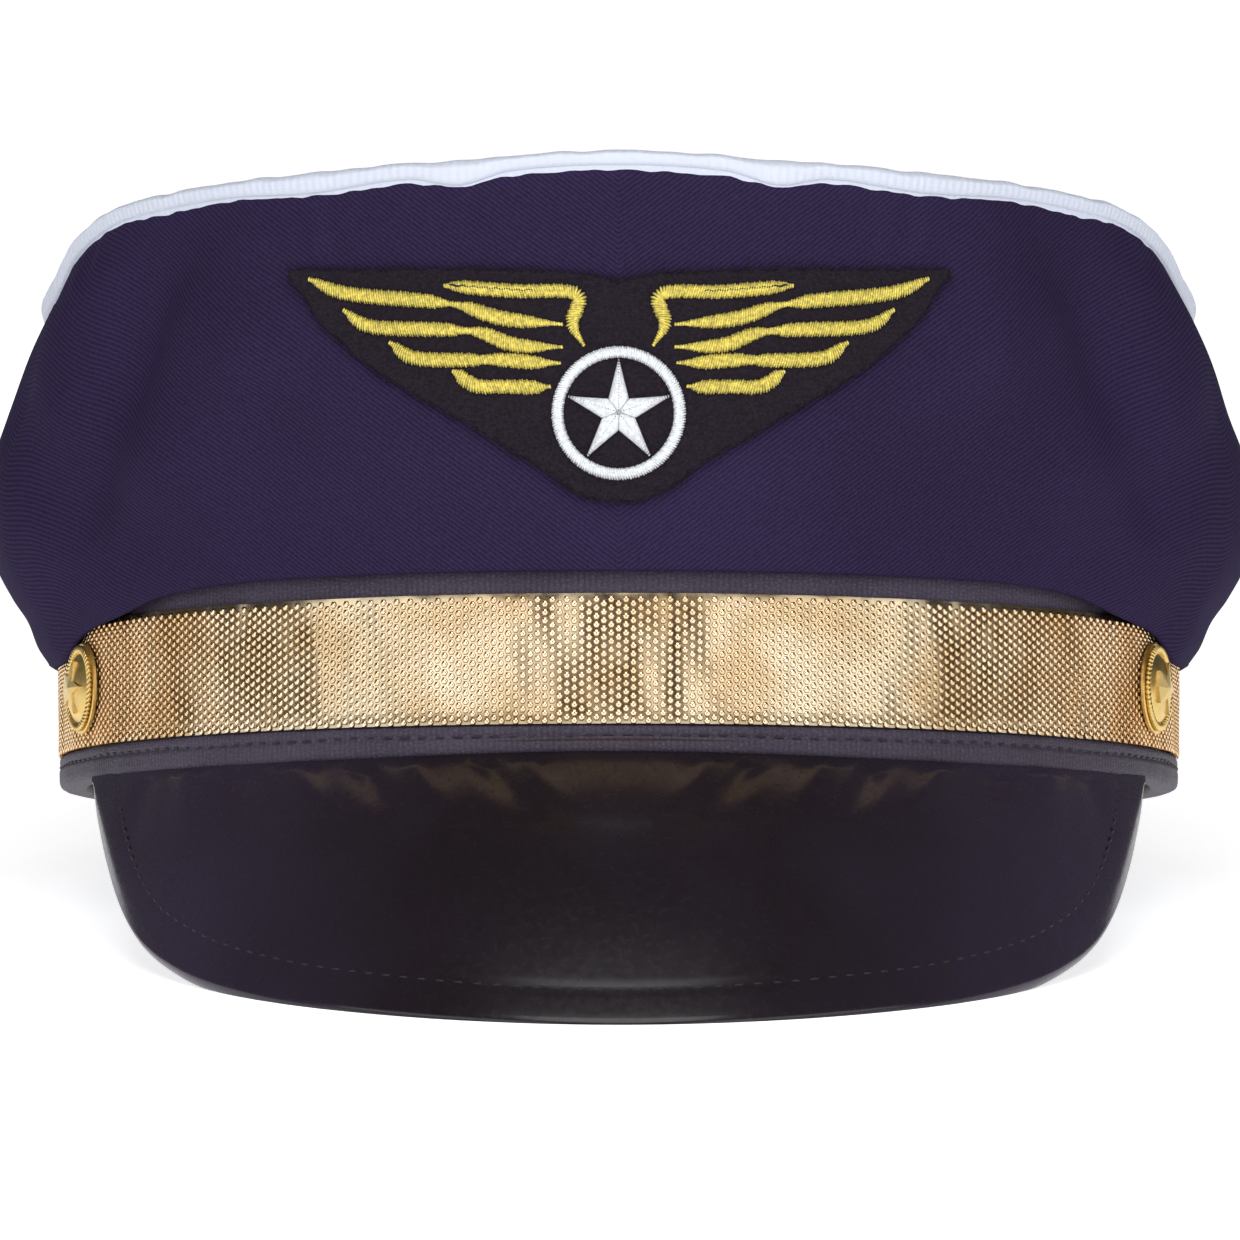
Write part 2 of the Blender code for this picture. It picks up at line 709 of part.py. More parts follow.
def build_cap():
    """Every piece, in the frame of the band, tipped back by its empty."""
    twill = finish("navy_twill", (0.035, 0.024, 0.062), 0.85)
    white = finish("white_cloth", (0.75, 0.80, 0.90), 0.7)
    grain = finish("dark_grain", (0.062, 0.055, 0.075), 0.6)
    gold_braid = finish("gold_braid", (0.50, 0.30, 0.12), 0.35, 0.8)
    brass = finish("button_gold", (0.55, 0.36, 0.11), 0.22, 1.0)
    gloss = finish("black_gloss", (0.012, 0.011, 0.015), 0.12)
    felt = finish("black_felt", (0.012, 0.012, 0.014), 0.95)
    gold_thread = finish("gold_thread", (0.60, 0.42, 0.08), 0.45, 0.5)
    white_thread = finish("white_thread", (0.78, 0.80, 0.85), 0.6)

    band = ring_piece("band", band_section, grain)
    binding = ring_piece("rim_binding", binding_section, grain)
    strap = ring_piece("gold_strap", strap_section, gold_braid)
    crown = ring_piece("crown_side", crown_section, twill)
    shade = peak(gloss)
    pieces = [band, binding, strap, crown, crown_top(white), shade]
    pieces.append(button("button_left", -1, brass))
    pieces.append(button("button_right", 1, brass))
    pieces.append(badge_patch(felt))
    pieces.extend(wings(gold_thread))
    pieces.append(badge_ring(white_thread))
    pieces.append(badge_star(white_thread))

    tilt = rest_angle()
    ground = press_on_ground([binding, shade], tilt)
    tip = Matrix.Rotation(-tilt, 4, "X")
    depths = [(tip @ vertex.co).y for piece in (crown, shade) for vertex in piece.data.vertices]
    cap = bpy.data.objects.new("cap_at_rest", None)
    bpy.context.collection.objects.link(cap)
    cap.rotation_euler = (-tilt, 0.0, 0.0)
    cap.location = (0.0, -(min(depths) + max(depths)) / 2, -ground)
    for piece in pieces:
        piece.parent = cap


def main():
    for thing in list(bpy.data.objects):
        bpy.data.objects.remove(thing)
    build_cap()


if __name__ == "__main__":
    main()
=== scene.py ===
"""A pilot's peaked cap: the finish of every surface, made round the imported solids.

Metres, +Z up, the front towards -Y. Each piece is worked out in the frame of the head band, whose
origin is the middle of the lower rim, and is then tipped back with the cap.
"""

import json
import math

import bpy
import numpy as np
from mathutils import Matrix, Vector


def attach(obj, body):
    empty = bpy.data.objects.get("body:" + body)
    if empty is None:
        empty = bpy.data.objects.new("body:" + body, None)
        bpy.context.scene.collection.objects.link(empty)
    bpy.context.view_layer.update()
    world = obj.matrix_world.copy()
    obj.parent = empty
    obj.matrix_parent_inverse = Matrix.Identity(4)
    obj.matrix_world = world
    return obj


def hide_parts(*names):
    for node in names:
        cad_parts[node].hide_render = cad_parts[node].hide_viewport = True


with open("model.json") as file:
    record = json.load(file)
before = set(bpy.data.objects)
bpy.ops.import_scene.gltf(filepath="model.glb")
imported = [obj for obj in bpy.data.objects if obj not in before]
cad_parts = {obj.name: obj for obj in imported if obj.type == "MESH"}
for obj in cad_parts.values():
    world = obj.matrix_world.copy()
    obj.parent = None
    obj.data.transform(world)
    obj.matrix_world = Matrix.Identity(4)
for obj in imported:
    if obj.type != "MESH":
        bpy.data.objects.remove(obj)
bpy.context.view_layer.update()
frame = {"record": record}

bl_info = {
    "name": "Peaked cap",
    "version": (1, 0, 0),
    "blender": (4, 5, 0),
    "location": "3D View > Sidebar > Cap",
    "description": "Makes the pieces of a pilot's peaked cap and the studio that it stands in",
    "category": "Object",
}

# Crown round the head: top seam as a share of the crown's height in front, droop of its fold,
# swelling of its skin and puff of the white top
CROWN_SECTION_SHARES = (
    # degrees from the front, seam, droop, swell, puff
    (0, 1.000, 0.09, 0.22, 0.60),
    (10, 0.992, 0.09, 0.24, 0.62),
    (15, 0.973, 0.09, 0.25, 0.95),
    (20, 0.984, 0.09, 0.27, 0.66),
    (30, 0.972, 0.09, 0.30, 0.82),
    (40, 0.976, 0.10, 0.40, 0.66),
    (50, 0.971, 0.20, 0.55, 0.66),
    (58, 0.962, 0.42, 0.72, 0.70),
    (67, 0.925, 0.62, 0.90, 0.80),
    (75, 0.870, 0.98, 0.97, 0.80),
    (90, 0.845, 0.88, 1.00, 0.70),
    (120, 0.800, 0.90, 0.95, 0.75),
    (150, 0.740, 0.85, 0.85, 0.75),
    (180, 0.710, 0.75, 0.80, 0.75),
)

# Skin of the crown from its fold up to its seam
CROWN_PROFILE_SHARES = (
    # share of the height, share of the swelling
    (0.000, 0.00),
    (0.045, 0.17),
    (0.120, 0.34),
    (0.185, 0.58),
    (0.290, 0.86),
    (0.450, 1.00),
    (0.580, 0.95),
    (0.715, 0.77),
    (0.850, 0.48),
    (1.000, 0.00),
)

# Dents (negative) and drape folds (positive) in the crown, on both sides of the middle
CROWN_FOLD_SHARES = (
    # from degrees, from height share, to degrees, to height share, share of the depth, width in degrees
    (50, 0.80, 57, 0.32, -1.25, 6.5),
    (42, 0.70, 17, 0.20, 0.55, 5.0),
    (33, 0.44, 14, 0.08, -0.22, 3.5),
    (60, 0.52, 41, 0.16, 0.30, 4.0),
    (71, 0.62, 61, 0.28, -0.35, 4.0),
    (25, 0.94, 22, 0.62, -0.18, 3.0),
    (38, 0.92, 36, 0.56, 0.24, 3.5),
    (7, 0.96, 3, 0.72, -0.14, 3.5),
    (48, 0.30, 62, 0.22, 0.35, 8.0),
    (84, 0.80, 110, 0.70, -0.50, 8.0),
    (120, 0.35, 165, 0.30, 0.50, 9.0),
    (130, 0.65, 170, 0.62, -0.60, 9.0),
)

# Narrow tucks that run down from the top seam
CROWN_TUCKS = (
    # degrees at the seam, degrees and height share at the lower end, depth in metres, width in degrees
    (14.5, 12.0, 0.78, 0.0009, 0.9),
    (19.0, 20.5, 0.86, 0.0005, 0.8),
    (29.5, 26.0, 0.74, 0.0010, 1.0),
    (35.0, 37.0, 0.86, 0.0005, 0.9),
    (63.0, 60.0, 0.80, 0.0007, 1.4),
    (97.0, 99.0, 0.80, 0.0007, 1.6),
    (131.0, 128.0, 0.76, 0.0008, 1.8),
    (158.0, 161.0, 0.80, 0.0007, 1.6),
)

# White top from its edge, rolled over the seam, in to its slack middle
TOP_ROLL = (
    # row, share of the way in, share of the puff, share of the slack
    (0, 0.004, -0.24, 0.00),
    (1, -0.007, -0.08, 0.00),
    (2, -0.012, 0.35, 0.00),
    (3, -0.012, 0.68, 0.00),
    (4, 0.002, 0.95, 0.00),
    (5, 0.030, 1.00, 0.01),
    (6, 0.100, 0.85, 0.13),
    (7, 0.250, 0.50, 0.58),
    (8, 0.550, 0.15, 1.00),
    (9, 0.975, 0.00, 1.00),
)

# Outer edge of the peak, from the middle to its end
PEAK_EDGE_SHARES = (
    # share of the half angle, share of the reach and of the drop
    (0.000, 1.000),
    (0.220, 0.977),
    (0.420, 0.930),
    (0.530, 0.892),
    (0.650, 0.828),
    (0.725, 0.767),
    (0.805, 0.670),
    (0.865, 0.538),
    (0.920, 0.355),
    (0.963, 0.179),
    (1.000, 0.025),
)

# Soft puckers in the peak, running down from the edging on both sides of the middle
PEAK_PUCKERS = (
    # degrees at the top, degrees at the lower end, share of the length, height in metres, width in degrees
    (9.0, 4.0, 0.34, 0.00055, 1.6),
    (13.5, 8.0, 0.30, -0.00070, 1.5),
    (20.0, 15.5, 0.40, 0.00080, 1.9),
    (26.0, 21.0, 0.34, -0.00080, 1.8),
    (33.0, 27.0, 0.46, 0.00090, 2.4),
    (40.0, 37.0, 0.40, -0.00080, 2.4),
    (47.0, 45.0, 0.62, 0.00080, 2.8),
    (54.0, 56.0, 0.80, -0.00065, 2.6),
)

# Outline of the badge's cloth, as shares of the wing's span across and of its rise up
PATCH_OUTLINE_SHARES = (
    # across, upper edge, lower edge
    (0.000, 0.949, -0.638),
    (0.061, 0.993, -0.623),
    (0.144, 1.019, -0.557),
    (0.269, 1.039, -0.359),
    (0.433, 1.055, -0.137),
    (0.572, 1.068, 0.057),
    (0.704, 1.082, 0.230),
    (0.821, 1.093, 0.419),
    (0.902, 1.102, 0.591),
    (0.971, 1.111, 0.748),
    (1.020, 1.117, 0.933),
    (1.073, 1.123, 1.083),
)

# Strokes of one wing, as shares of the wing's span across and of its rise up
WING_STROKE_SHARES = (
    # name, (across, up) at the tip, the shoulder, the waist, the belly and the root, waist width
    ("wing_hook", (0.559, 0.944), (0.337, 0.892), (0.138, 0.870), (0.147, 0.653), (0.112, 0.493), 1.0),
    ("feather_1", (1.002, 1.045), (0.876, 0.926), (0.543, 0.811), (0.375, 0.694), (0.183, 0.646), 0.4),
    ("feather_2", (0.888, 0.802), (0.789, 0.670), (0.472, 0.603), (0.337, 0.500), (0.183, 0.480), 0.5),
    ("feather_3", (0.737, 0.547), (0.643, 0.419), (0.375, 0.390), (0.279, 0.373), (0.189, 0.364), 0.7),
    ("feather_4", (0.531, 0.316), (0.459, 0.208), (0.375, 0.198), (0.295, 0.192), (0.221, 0.193), 1.0),
)

# Width along a stroke, from its tip to its root
STROKE_OUTLINE_SHARES = (
    # share of the length, share of the width, share of the waist
    (0.00, 0.30, 0.0),
    (0.05, 0.70, 0.0),
    (0.12, 1.00, 0.0),
    (0.49, 1.00, 0.0),
    (0.57, 1.00, 1.0),
    (0.66, 1.00, 0.0),
    (0.85, 1.00, 0.0),
    (1.00, 0.25, 0.0),
)

# Turned face of a button, from the foot of its flange to the middle of its dome
BUTTON_STEPS = (
    # share of the radius, share of the depth
    (1.00, 0.10),
    (1.00, 0.22),
    (0.97, 0.27),
    (0.90, 0.27),
    (0.87, 0.30),
    (0.86, 0.40),
    (0.80, 0.40),
    (0.76, 0.38),
    (0.70, 0.47),
    (0.58, 0.62),
    (0.44, 0.74),
    (0.28, 0.82),
    (0.12, 0.86),
)

# Small dents in the strap's foil
STRAP_DENTS = (
    # degrees, share of the height, depth in metres, width in degrees
    (-39.0, 0.95, 0.00035, 1.2),
    (-45.0, 0.05, 0.00040, 1.6),
    (-28.0, 0.90, 0.00020, 1.5),
    (34.0, 0.90, 0.00030, 1.4),
    (52.0, 0.10, 0.00035, 1.6),
    (-57.0, 0.30, 0.00025, 1.5),
)

# Waves in the cloth, the foil and the seams
RIPPLES = {
    # surface: times round, times up or in, shift, height in metres
    "crown": (
        (9, 0.5, 0.4, 0.00045),
        (14, -0.8, 1.7, 0.00034),
        (23, 1.1, 2.9, 0.00014),
        (31, -1.6, 0.9, 0.00009),
    ),
    "crown_seam": ((83, 0.0, 0.3, 0.00004), (118, 0.6, 1.9, 0.00003), (167, -0.4, 4.1, 0.00002)),
    "top_gathers": ((47, 0.0, 0.6, 0.00008), (71, 0.5, 2.2, 0.00006), (103, -0.4, 4.4, 0.00004)),
    "top_hollows": ((3, 0.6, 0.8, 0.00060), (5, -0.9, 2.6, 0.00040), (8, 1.3, 5.0, 0.00025)),
    "strap": ((34, 0.3, 0.2, 0.00010), (57, -0.5, 1.4, 0.00006), (91, 0.8, 3.3, 0.00004)),
    "edging": ((37, 0, 0.5, 0.00005), (61, 0, 2.1, 0.00004)),
    "edging_stitches": ((11, 0, 0.4, 0.00016), (29, 0, 2.0, 0.00010)),
}

# Soft lights of the studio, all turned to the cap
SOFT_BOXES = (
    # name, degrees to the right of the front, degrees up, distance, (width, height), its power's name
    ("side_light_-1", -41.0, 15.0, 1.10, (1.10, 0.40), "side_light"),
    ("side_light_1", 41.0, 15.0, 1.10, (1.10, 0.40), "side_light"),
    ("front_light", 0.0, 50.0, 0.70, (0.50, 0.40), "front_light"),
    ("back_light", 180.0, 55.0, 1.30, (1.00, 0.60), "back_light"),
)

# How finely the pieces are divided, round the cap or along themselves and then up or across
CROWN_STATIONS = 620
CROWN_SKIN_ROWS = 84
CROWN_INNER_ROWS = 20
TOP_STATIONS = 720
BAND_STATIONS = 480
BAND_ROWS = 9
STRAP_STATIONS = 720
STRAP_ROWS = 17
PEAK_COLUMNS = 301
PEAK_ROWS = 66
PATCH_COLUMNS = 161
PATCH_ROWS = 29
THREAD_STEPS = 7
STITCH_STEPS = 6
GIRTH_STEPS = 2880

# Seams and stitches, in metres where the name says nothing else
STRAP_SEAM_DEGREES = 5.4
STRAP_SEAM_STEP = 0.00022
STRAP_EDGE_DROP = 0.0002
STITCH_RADIUS = 0.00020
STITCH_BITE = 0.00030
STITCH_CREST = 0.00010
STITCH_LENGTH = 0.0020
EDGING_STITCH_PITCH = 0.0029
EDGING_STITCH_SHARE = 0.68
EDGING_STITCH_SINK = 0.00010
EDGING_STITCH_SHOULDER = 0.00002
PEAK_STITCH_PITCH = 0.0030
PEAK_STITCH_SINK = 0.00018
PEAK_GROOVE_DEPTH = 0.00009
PEAK_GROOVE_WIDTH = 0.0007
PEAK_FOLD_HEIGHT = 0.00012
PEAK_FOLD_WIDTH = 0.005
PEAK_LIP_RADIUS = 0.0013

# Way over the white top's cloth from its rim to its middle, in metres
POLE_RUN = 0.1

# Edging and band, in metres
EDGING_OUTER_BEND = 0.0009
EDGING_INNER_BEND = 0.0008
EDGING_BELLY = 0.00012
EDGING_GROOVE_DEPTH = 0.00026
EDGING_GROOVE_WIDTH = 0.0004
BAND_CREST = 0.0004

# Beads of the strap, from the ground between them to their domes
BEAD_GROUND_DEPTH = 0.00004
BEAD_HALF_WIDTH = 0.00056
BEAD_HALF_HEIGHT = 0.00062
BEAD_MARGIN = 0.00045
BEAD_RINGS = (
    # share of the half width, share of the bead's height
    (1.00, -0.20),
    (0.70, 0.80),
)

# Buttons: the roped rim and the star, as shares of the radius and of the depth
BUTTON_SIDES = 72
ROPE_BEADS = 52
ROPE_BEAD_RADIUS = 0.00042
ROPE_BEAD_STRETCH = 1.9
ROPE_BEAD_DEGREES = -38
ROPE_RADIUS_SHARE = 0.86
ROPE_HEIGHT_SHARE = 0.40
BUTTON_STAR_RADIUS_SHARE = 0.60
BUTTON_STAR_HEIGHT_SHARE = 0.80
BUTTON_STAR_RIDGE_SHARE = 0.20
BUTTON_STAR_NOTCH_SHARE = 0.42
BUTTON_STAR_NOTCH_RISE = 0.10

# Waves of the badge's cut edge
PATCH_WAVES = (
    # share of the wing's rise, turns, shift
    (0.006, 61.0, 0.0),
    (0.004, 143.0, 1.0),
)
PATCH_ROUNDING_SHARE = 0.45
PATCH_BACK_GAP = 0.0001

# Fibres round the badge's cut edge
FIBRE_COUNT = 1500
FIBRE_RADIUS = 0.000045
FIBRE_REACHES = (0.0003, 0.0011)
FIBRE_HEIGHT_SHARES = (0.2, 0.8)
FIBRE_LEAN = 0.7
FIBRE_LOOK_AHEAD = 0.0004

# Embroidery: how threads slant and differ from one another
THREAD_SLANT = 0.35
STROKE_HEIGHT_SHARE = 0.85
STROKE_UNEVENNESS = ((0.07, 2.4), (0.04, 5.1))
RING_UNEVENNESS = ((0.05, 2.4),)
RING_SLANT = 0.030
HOOK_LINE_RADIUS = 0.00016
HOOK_LINE_HEIGHT_SHARE = 0.88
HOOK_LINE_RISE = 0.0001
HOOK_LINE_WANDER = 0.00010
HOOK_LINE_STEPS = slice(3, 58)


def length(name, default, description):
    """A size in metres."""
    return bpy.props.FloatProperty(
        name=name, description=description, default=default, min=0.0, unit="LENGTH", precision=5
    )


def colour(name, default, description):
    """A colour without alpha."""
    return bpy.props.FloatVectorProperty(
        name=name, description=description, default=default, size=3, min=0.0, max=1.0, subtype="COLOR"
    )


def angle(name, degrees, description):
    """An angle, given in degrees."""
    return bpy.props.FloatProperty(
        name=name, description=description, default=math.radians(degrees), subtype="ANGLE"
    )


def power(name, default, description):
    """The power of a light in watts."""
    return bpy.props.FloatProperty(name=name, description=description, default=default, unit="POWER")


class CapSizes(bpy.types.PropertyGroup):
    """Sizes of the cap's pieces."""

    gap: length("Gap", 0.0003, "Clearance between neighbouring pieces")
    band_half_width: length("Band half width", 0.0892, "From the middle to the band's outer face at the side")
    band_half_length: length("Band half length", 0.1003, "From the middle to the band's outer face in front")
    band_height: length("Band height", 0.0287, "From the rim to the band's upper edge")
    band_wall: length("Band wall", 0.0022, "Thickness of the band")
    rim_rise: length("Rim rise", 0.0009, "How much the rim lifts in the middle of the front")
    binding_height: length("Edging height", 0.0049, "Height of the edging folded round the rim")
    binding_thickness: length("Edging thickness", 0.0009, "Thickness of the edging")
    band_above_strap: length("Band above strap", 0.0038, "Height of the band that shows above the strap")
    strap_thickness: length("Strap thickness", 0.0010, "Thickness of the gold strap")
    bead_pitch: length("Bead pitch", 0.00127, "Distance between beads in a column of the gold strap")
    bead_column_pitch: length("Bead column pitch", 0.00112, "Distance between columns of beads")
    bead_height: length("Bead height", 0.00020, "How far a bead stands out of the gold strap")
    cloth: length("Crown cloth", 0.0015, "Thickness of the crown's cloth")
    crown_front_height: length("Crown height", 0.0895, "From the rim to the crown's top seam in front")
    crown_droop: length("Crown droop", 0.0102, "How far the crown hangs below the band's upper edge at most")
    crown_bulge: length("Crown bulge", 0.0100, "How far the crown swells out at most")
    fold_outset: length("Fold outset", 0.0032, "From the band's face to the crown's lower fold")
    seam_outset: length("Seam outset", 0.0034, "From the band's face to the crown's top seam")
    pocket_depth: length("Pocket depth", 0.0050, "Depth of the pocket behind the crown's fold")
    fold_depth: length("Fold depth", 0.0040, "Depth of the crown's deepest dent")
    top_sag: length("Top sag", 0.0020, "How far the middle of the white top hangs down")
    top_puff: length("Top puff", 0.0036, "How far the white top puffs up inside its seam")
    peak_reach: length("Peak reach", 0.0377, "How far the peak reaches forward in the middle")
    peak_drop: length("Peak drop", 0.0412, "How far the peak reaches down in the middle")
    peak_thickness: length("Peak thickness", 0.0026, "Thickness of the peak")
    peak_camber: length("Peak camber", 0.0026, "How far the peak arches between its edges")
    peak_margin: length("Peak margin", 0.0070, "From the peak's edge to its line of stitches")
    button_radius: length("Button radius", 0.0072, "Radius of a button")
    button_depth: length("Button depth", 0.0031, "Depth of a button")
    button_below_strap_top: length("Button drop", 0.0105, "From the strap's upper edge to a button's middle")
    badge_centre_height: length("Badge height", 0.0516, "From the rim to the middle of the badge's ring")
    badge_gap: length("Badge gap", 0.0005, "Room under the badge's cloth and under its threads")
    patch_thickness: length("Badge cloth", 0.0009, "Thickness of the badge's cloth")
    thread_thickness: length("Thread height", 0.0009, "How far the badge's stitching stands up")
    thread_radius: length("Thread radius", 0.00021, "Radius of one embroidery thread")
    thread_pitch: length("Thread pitch", 0.00037, "Distance between neighbouring embroidery threads")
    wing_span: length("Wing span", 0.0470, "From the badge's middle to the tip of a wing")
    wing_rise: length("Wing rise", 0.0208, "From the badge's middle up to the wings' upper line")
    stroke_width: length("Stroke width", 0.0021, "Width of a stroke of the wings")
    ring_radius: length("Ring radius", 0.0092, "Radius of the badge's ring")
    ring_width: length("Ring width", 0.0018, "Width of the badge's ring")
    star_radius: length("Star radius", 0.0081, "From the star's middle to a tip")
    star_waist: length("Star waist", 0.0026, "From the star's middle to the notch between two arms")
    peak_half_angle: angle("Peak half angle", 66.5, "How far round the head the peak reaches on each side")
    button_angle: angle("Button angle", 68.0, "How far round from the front a button sits")


class CapColours(bpy.types.PropertyGroup):
    """Colours of the cap's finishes."""

    navy: colour("Navy", (0.036, 0.025, 0.076), "Lit ribs of the crown's twill")
    navy_shade: colour("Navy shade", (0.017, 0.011, 0.029), "Furrows of the crown's twill")
    white: colour("White", (0.63, 0.67, 0.78), "Cloth of the top")
    grain: colour("Dark grain", (0.108, 0.086, 0.134), "Band and edging")
    lining: colour("Inner face", (0.050, 0.026, 0.016), "Inner face of the band and edging")
    ribbon: colour("Gold strap", (0.91, 0.78, 0.56), "Metallic face of the strap")
    button: colour("Button gold", (0.86, 0.62, 0.22), "Metal of the buttons")
    gloss: colour("Black gloss", (0.012, 0.008, 0.011), "Middle of the peak")
    # Painted reflection: a lighter, bluer colour that the peak takes towards its sides
    gloss_side_reflection: colour("Black sides", (0.029, 0.021, 0.041), "Sides of the peak")
    felt: colour("Black felt", (0.012, 0.009, 0.013), "Cloth of the badge")
    gold_thread: colour("Gold thread", (0.96, 0.80, 0.15), "Wings of the badge")
    white_thread: colour("White thread", (0.93, 0.96, 1.00), "Ring and star of the badge")
    stitch: colour("Dark thread", (0.008, 0.006, 0.010), "Stitches of the edging and of the peak")


class StudioSettings(bpy.types.PropertyGroup):
    """Light and view."""

    distance: length("Distance", 1.400, "From the camera to the point that it looks at")
    lens: bpy.props.FloatProperty(
        name="Lens", description="Focal length on a 36 mm sensor", default=250.1, unit="CAMERA"
    )
    below_band: angle("Camera below band", 4.0, "How far below the plane of the rim the camera looks up from")
    aim_across: length("Aim across", 0.0002, "How far to the right of the middle the camera looks")
    aim_height: length("Aim height", 0.0279, "Height above the rim that the camera looks at")
    side_light: power("Side lights", 3.0, "Power of each of the two soft boxes at the sides")
    front_light: power("Front light", 2.3, "Power of the light in front and above")
    back_light: power("Back light", 2.0, "Power of the light behind and above")
    sky: bpy.props.FloatProperty(
        name="Fill", description="Strength of the light from all round", default=0.08, min=0.0
    )


def sizes():
    """The sizes that the panel shows."""
    return bpy.context.scene.cap_sizes


def colours():
    """The colours that the panel shows."""
    return bpy.context.scene.cap_colours


# Places on the cap, in the frame of the band


def rest_matrix():
    """The frame of the band as the cap rests: where the head goes in, and which way is up there."""
    mount = next(row for row in frame["record"]["mounts"] if row["name"] == "head_opening")
    tilt = math.atan2(-mount["axis"][1], -mount["axis"][2])
    return Matrix.Translation(mount["pos_m"]) @ Matrix.Rotation(-tilt, 4, "X")


def placed(points):
    """Points of the band's frame in the frame of the resting cap."""
    matrix = np.array(rest_matrix())
    return points @ matrix[:3, :3].T + matrix[:3, 3]


def on_curve(table, column, places, level_ends=True):
    """Values of a table's column at places in its first column, on a smooth curve through the rows."""
    rows = np.array([row[0] for row in table], float)
    values = np.array([row[column] for row in table], float)
    slopes = np.zeros(len(rows))
    slopes[1:-1] = (values[2:] - values[:-2]) / (rows[2:] - rows[:-2])
    if not level_ends:
        slopes[0] = (values[1] - values[0]) / (rows[1] - rows[0])
        slopes[-1] = (values[-1] - values[-2]) / (rows[-1] - rows[-2])
    places = np.clip(places, rows[0], rows[-1])
    row = np.clip(np.searchsorted(rows, places, side="right") - 1, 0, len(rows) - 2)
    step = rows[row + 1] - rows[row]
    share = (places - rows[row]) / step
    slope_in = step * slopes[row]
    slope_out = step * slopes[row + 1]
    rise = values[row + 1] - values[row]
    cubic = slope_in + slope_out - 2 * rise
    square = 3 * rise - 2 * slope_in - slope_out
    return ((cubic * share + square) * share + slope_in) * share + values[row]


def eased(values):
    """Values from 0 to 1, held there outside and levelled off at both ends."""
    held = np.clip(values, 0.0, 1.0)
    return held * held * (3 - 2 * held)


def outward(angles):
    """Level directions straight out of the band at angles from the front."""
    size = sizes()
    across = size.band_half_length * np.sin(angles)
    along = -size.band_half_width * np.cos(angles)
    reach = np.hypot(across, along)
    return np.stack([across / reach, along / reach, np.zeros_like(reach)], -1)


def around(angles, outset, height):
    """Points at angles from the front, outset from the band's outer face, above the rim."""
    size = sizes()
    angles, outset, height = np.broadcast_arrays(angles, outset, height)
    across = size.band_half_width * np.sin(angles)
    along = -size.band_half_length * np.cos(angles)
    return np.stack([across, along, height], -1) + outset[..., None] * outward(angles)


def degrees_from_front(angles):
    """How far round angles lie from the front, from 0 to 180 degrees on either side."""
    return np.abs(np.degrees(np.arctan2(np.sin(angles), np.cos(angles))))


def run_along(points):
    """How far along its line each point lies, where the points of a line are on the last axis but one."""
    steps = np.linalg.norm(np.diff(points, axis=-2), axis=-1)
    return np.concatenate([np.zeros_like(steps[..., :1]), np.cumsum(steps, axis=-1)], axis=-1)


def girth_at(outset):
    """Angles round the cap and how far they lie along the outline at an outset."""
    angles = np.linspace(0.0, math.tau, GIRTH_STEPS + 1)
    return angles, run_along(around(angles, outset, 0.0))


def from_front(angles):
    """Distance round the band from the middle of the front, on either side."""
    table_angles, lengths = girth_at(0.0)
    return np.interp(np.radians(degrees_from_front(angles)), table_angles, lengths)


def evenly_round(count):
    """Angles of evenly spaced stations round the cap."""
    return np.arange(count) * math.tau / count


def ripple(angles, heights, surface):
    """The waves of a surface at angles round the cap and at shares of the height."""
    total = 0.0
    for turns, climbs, shift, height in RIPPLES[surface]:
        total = total + height * np.sin(turns * angles + math.tau * climbs * heights + shift)
    return total


def rim_height(angles):
    """Height of the rim's lower edge."""
    return sizes().rim_rise * np.maximum(0.0, np.cos(angles)) ** 12


def binding_outset():
    """From the band's face to the face of the edging."""
    return sizes().gap + sizes().binding_thickness


def strap_outset():
    """From the band's face to the face of the strap."""
    return sizes().gap + sizes().strap_thickness


def strap_foot():
    """Height of the strap's lower edge."""
    return sizes().binding_height + sizes().gap


def strap_top():
    """Height of the strap's upper edge."""
    return sizes().band_height - sizes().band_above_strap


# Crown


def crown_limits(angles):
    """Heights of the crown's fold and of its top seam, its swelling, and the puff of the top."""
    size = sizes()
    degrees = degrees_from_front(angles)
    seam, droop, swell, puff = (on_curve(CROWN_SECTION_SHARES, column, degrees) for column in range(1, 5))
    fold_height = size.band_height + size.gap - size.crown_droop * droop
    return fold_height, size.crown_front_height * seam, size.crown_bulge * swell, size.top_puff * puff


def fold_relief(degrees, shares):
    """How far the dents and drape folds move the crown's skin."""
    size = sizes()
    full_height = math.degrees(
        (size.crown_front_height - size.band_height - size.gap) / size.band_half_width
    )
    relief = 0.0
    for from_degrees, from_share, to_degrees, to_share, depth, width in CROWN_FOLD_SHARES:
        along = to_degrees - from_degrees
        climb = (to_share - from_share) * full_height
        off_along = degrees - from_degrees
        off_up = (shares - from_share) * full_height
        reach = np.clip((off_along * along + off_up * climb) / (along * along + climb * climb), 0.0, 1.0)
        distance = np.hypot(off_along - reach * along, off_up - reach * climb)
        relief = relief + depth * np.exp(-((distance / width) ** 2))
    return size.fold_depth * relief * np.sin(math.pi * np.clip(shares, 0.0, 1.0)) ** 0.6


def tuck_relief(degrees, shares):
    """How far the narrow tucks below the top seam move the crown's skin."""
    relief = 0.0
    for seam_degrees, end_degrees, end_share, depth, width in CROWN_TUCKS:
        down = (1.0 - shares) / (1.0 - end_share)
        line = seam_degrees + (end_degrees - seam_degrees) * down
        off = (degrees - line) / width
        fade = eased(1.0 - down)
        relief = relief + depth * fade * (0.7 * np.exp(-((off - 1.3) ** 2)) - np.exp(-(off**2)))
    return relief * eased((1.0 - shares) / 0.10)


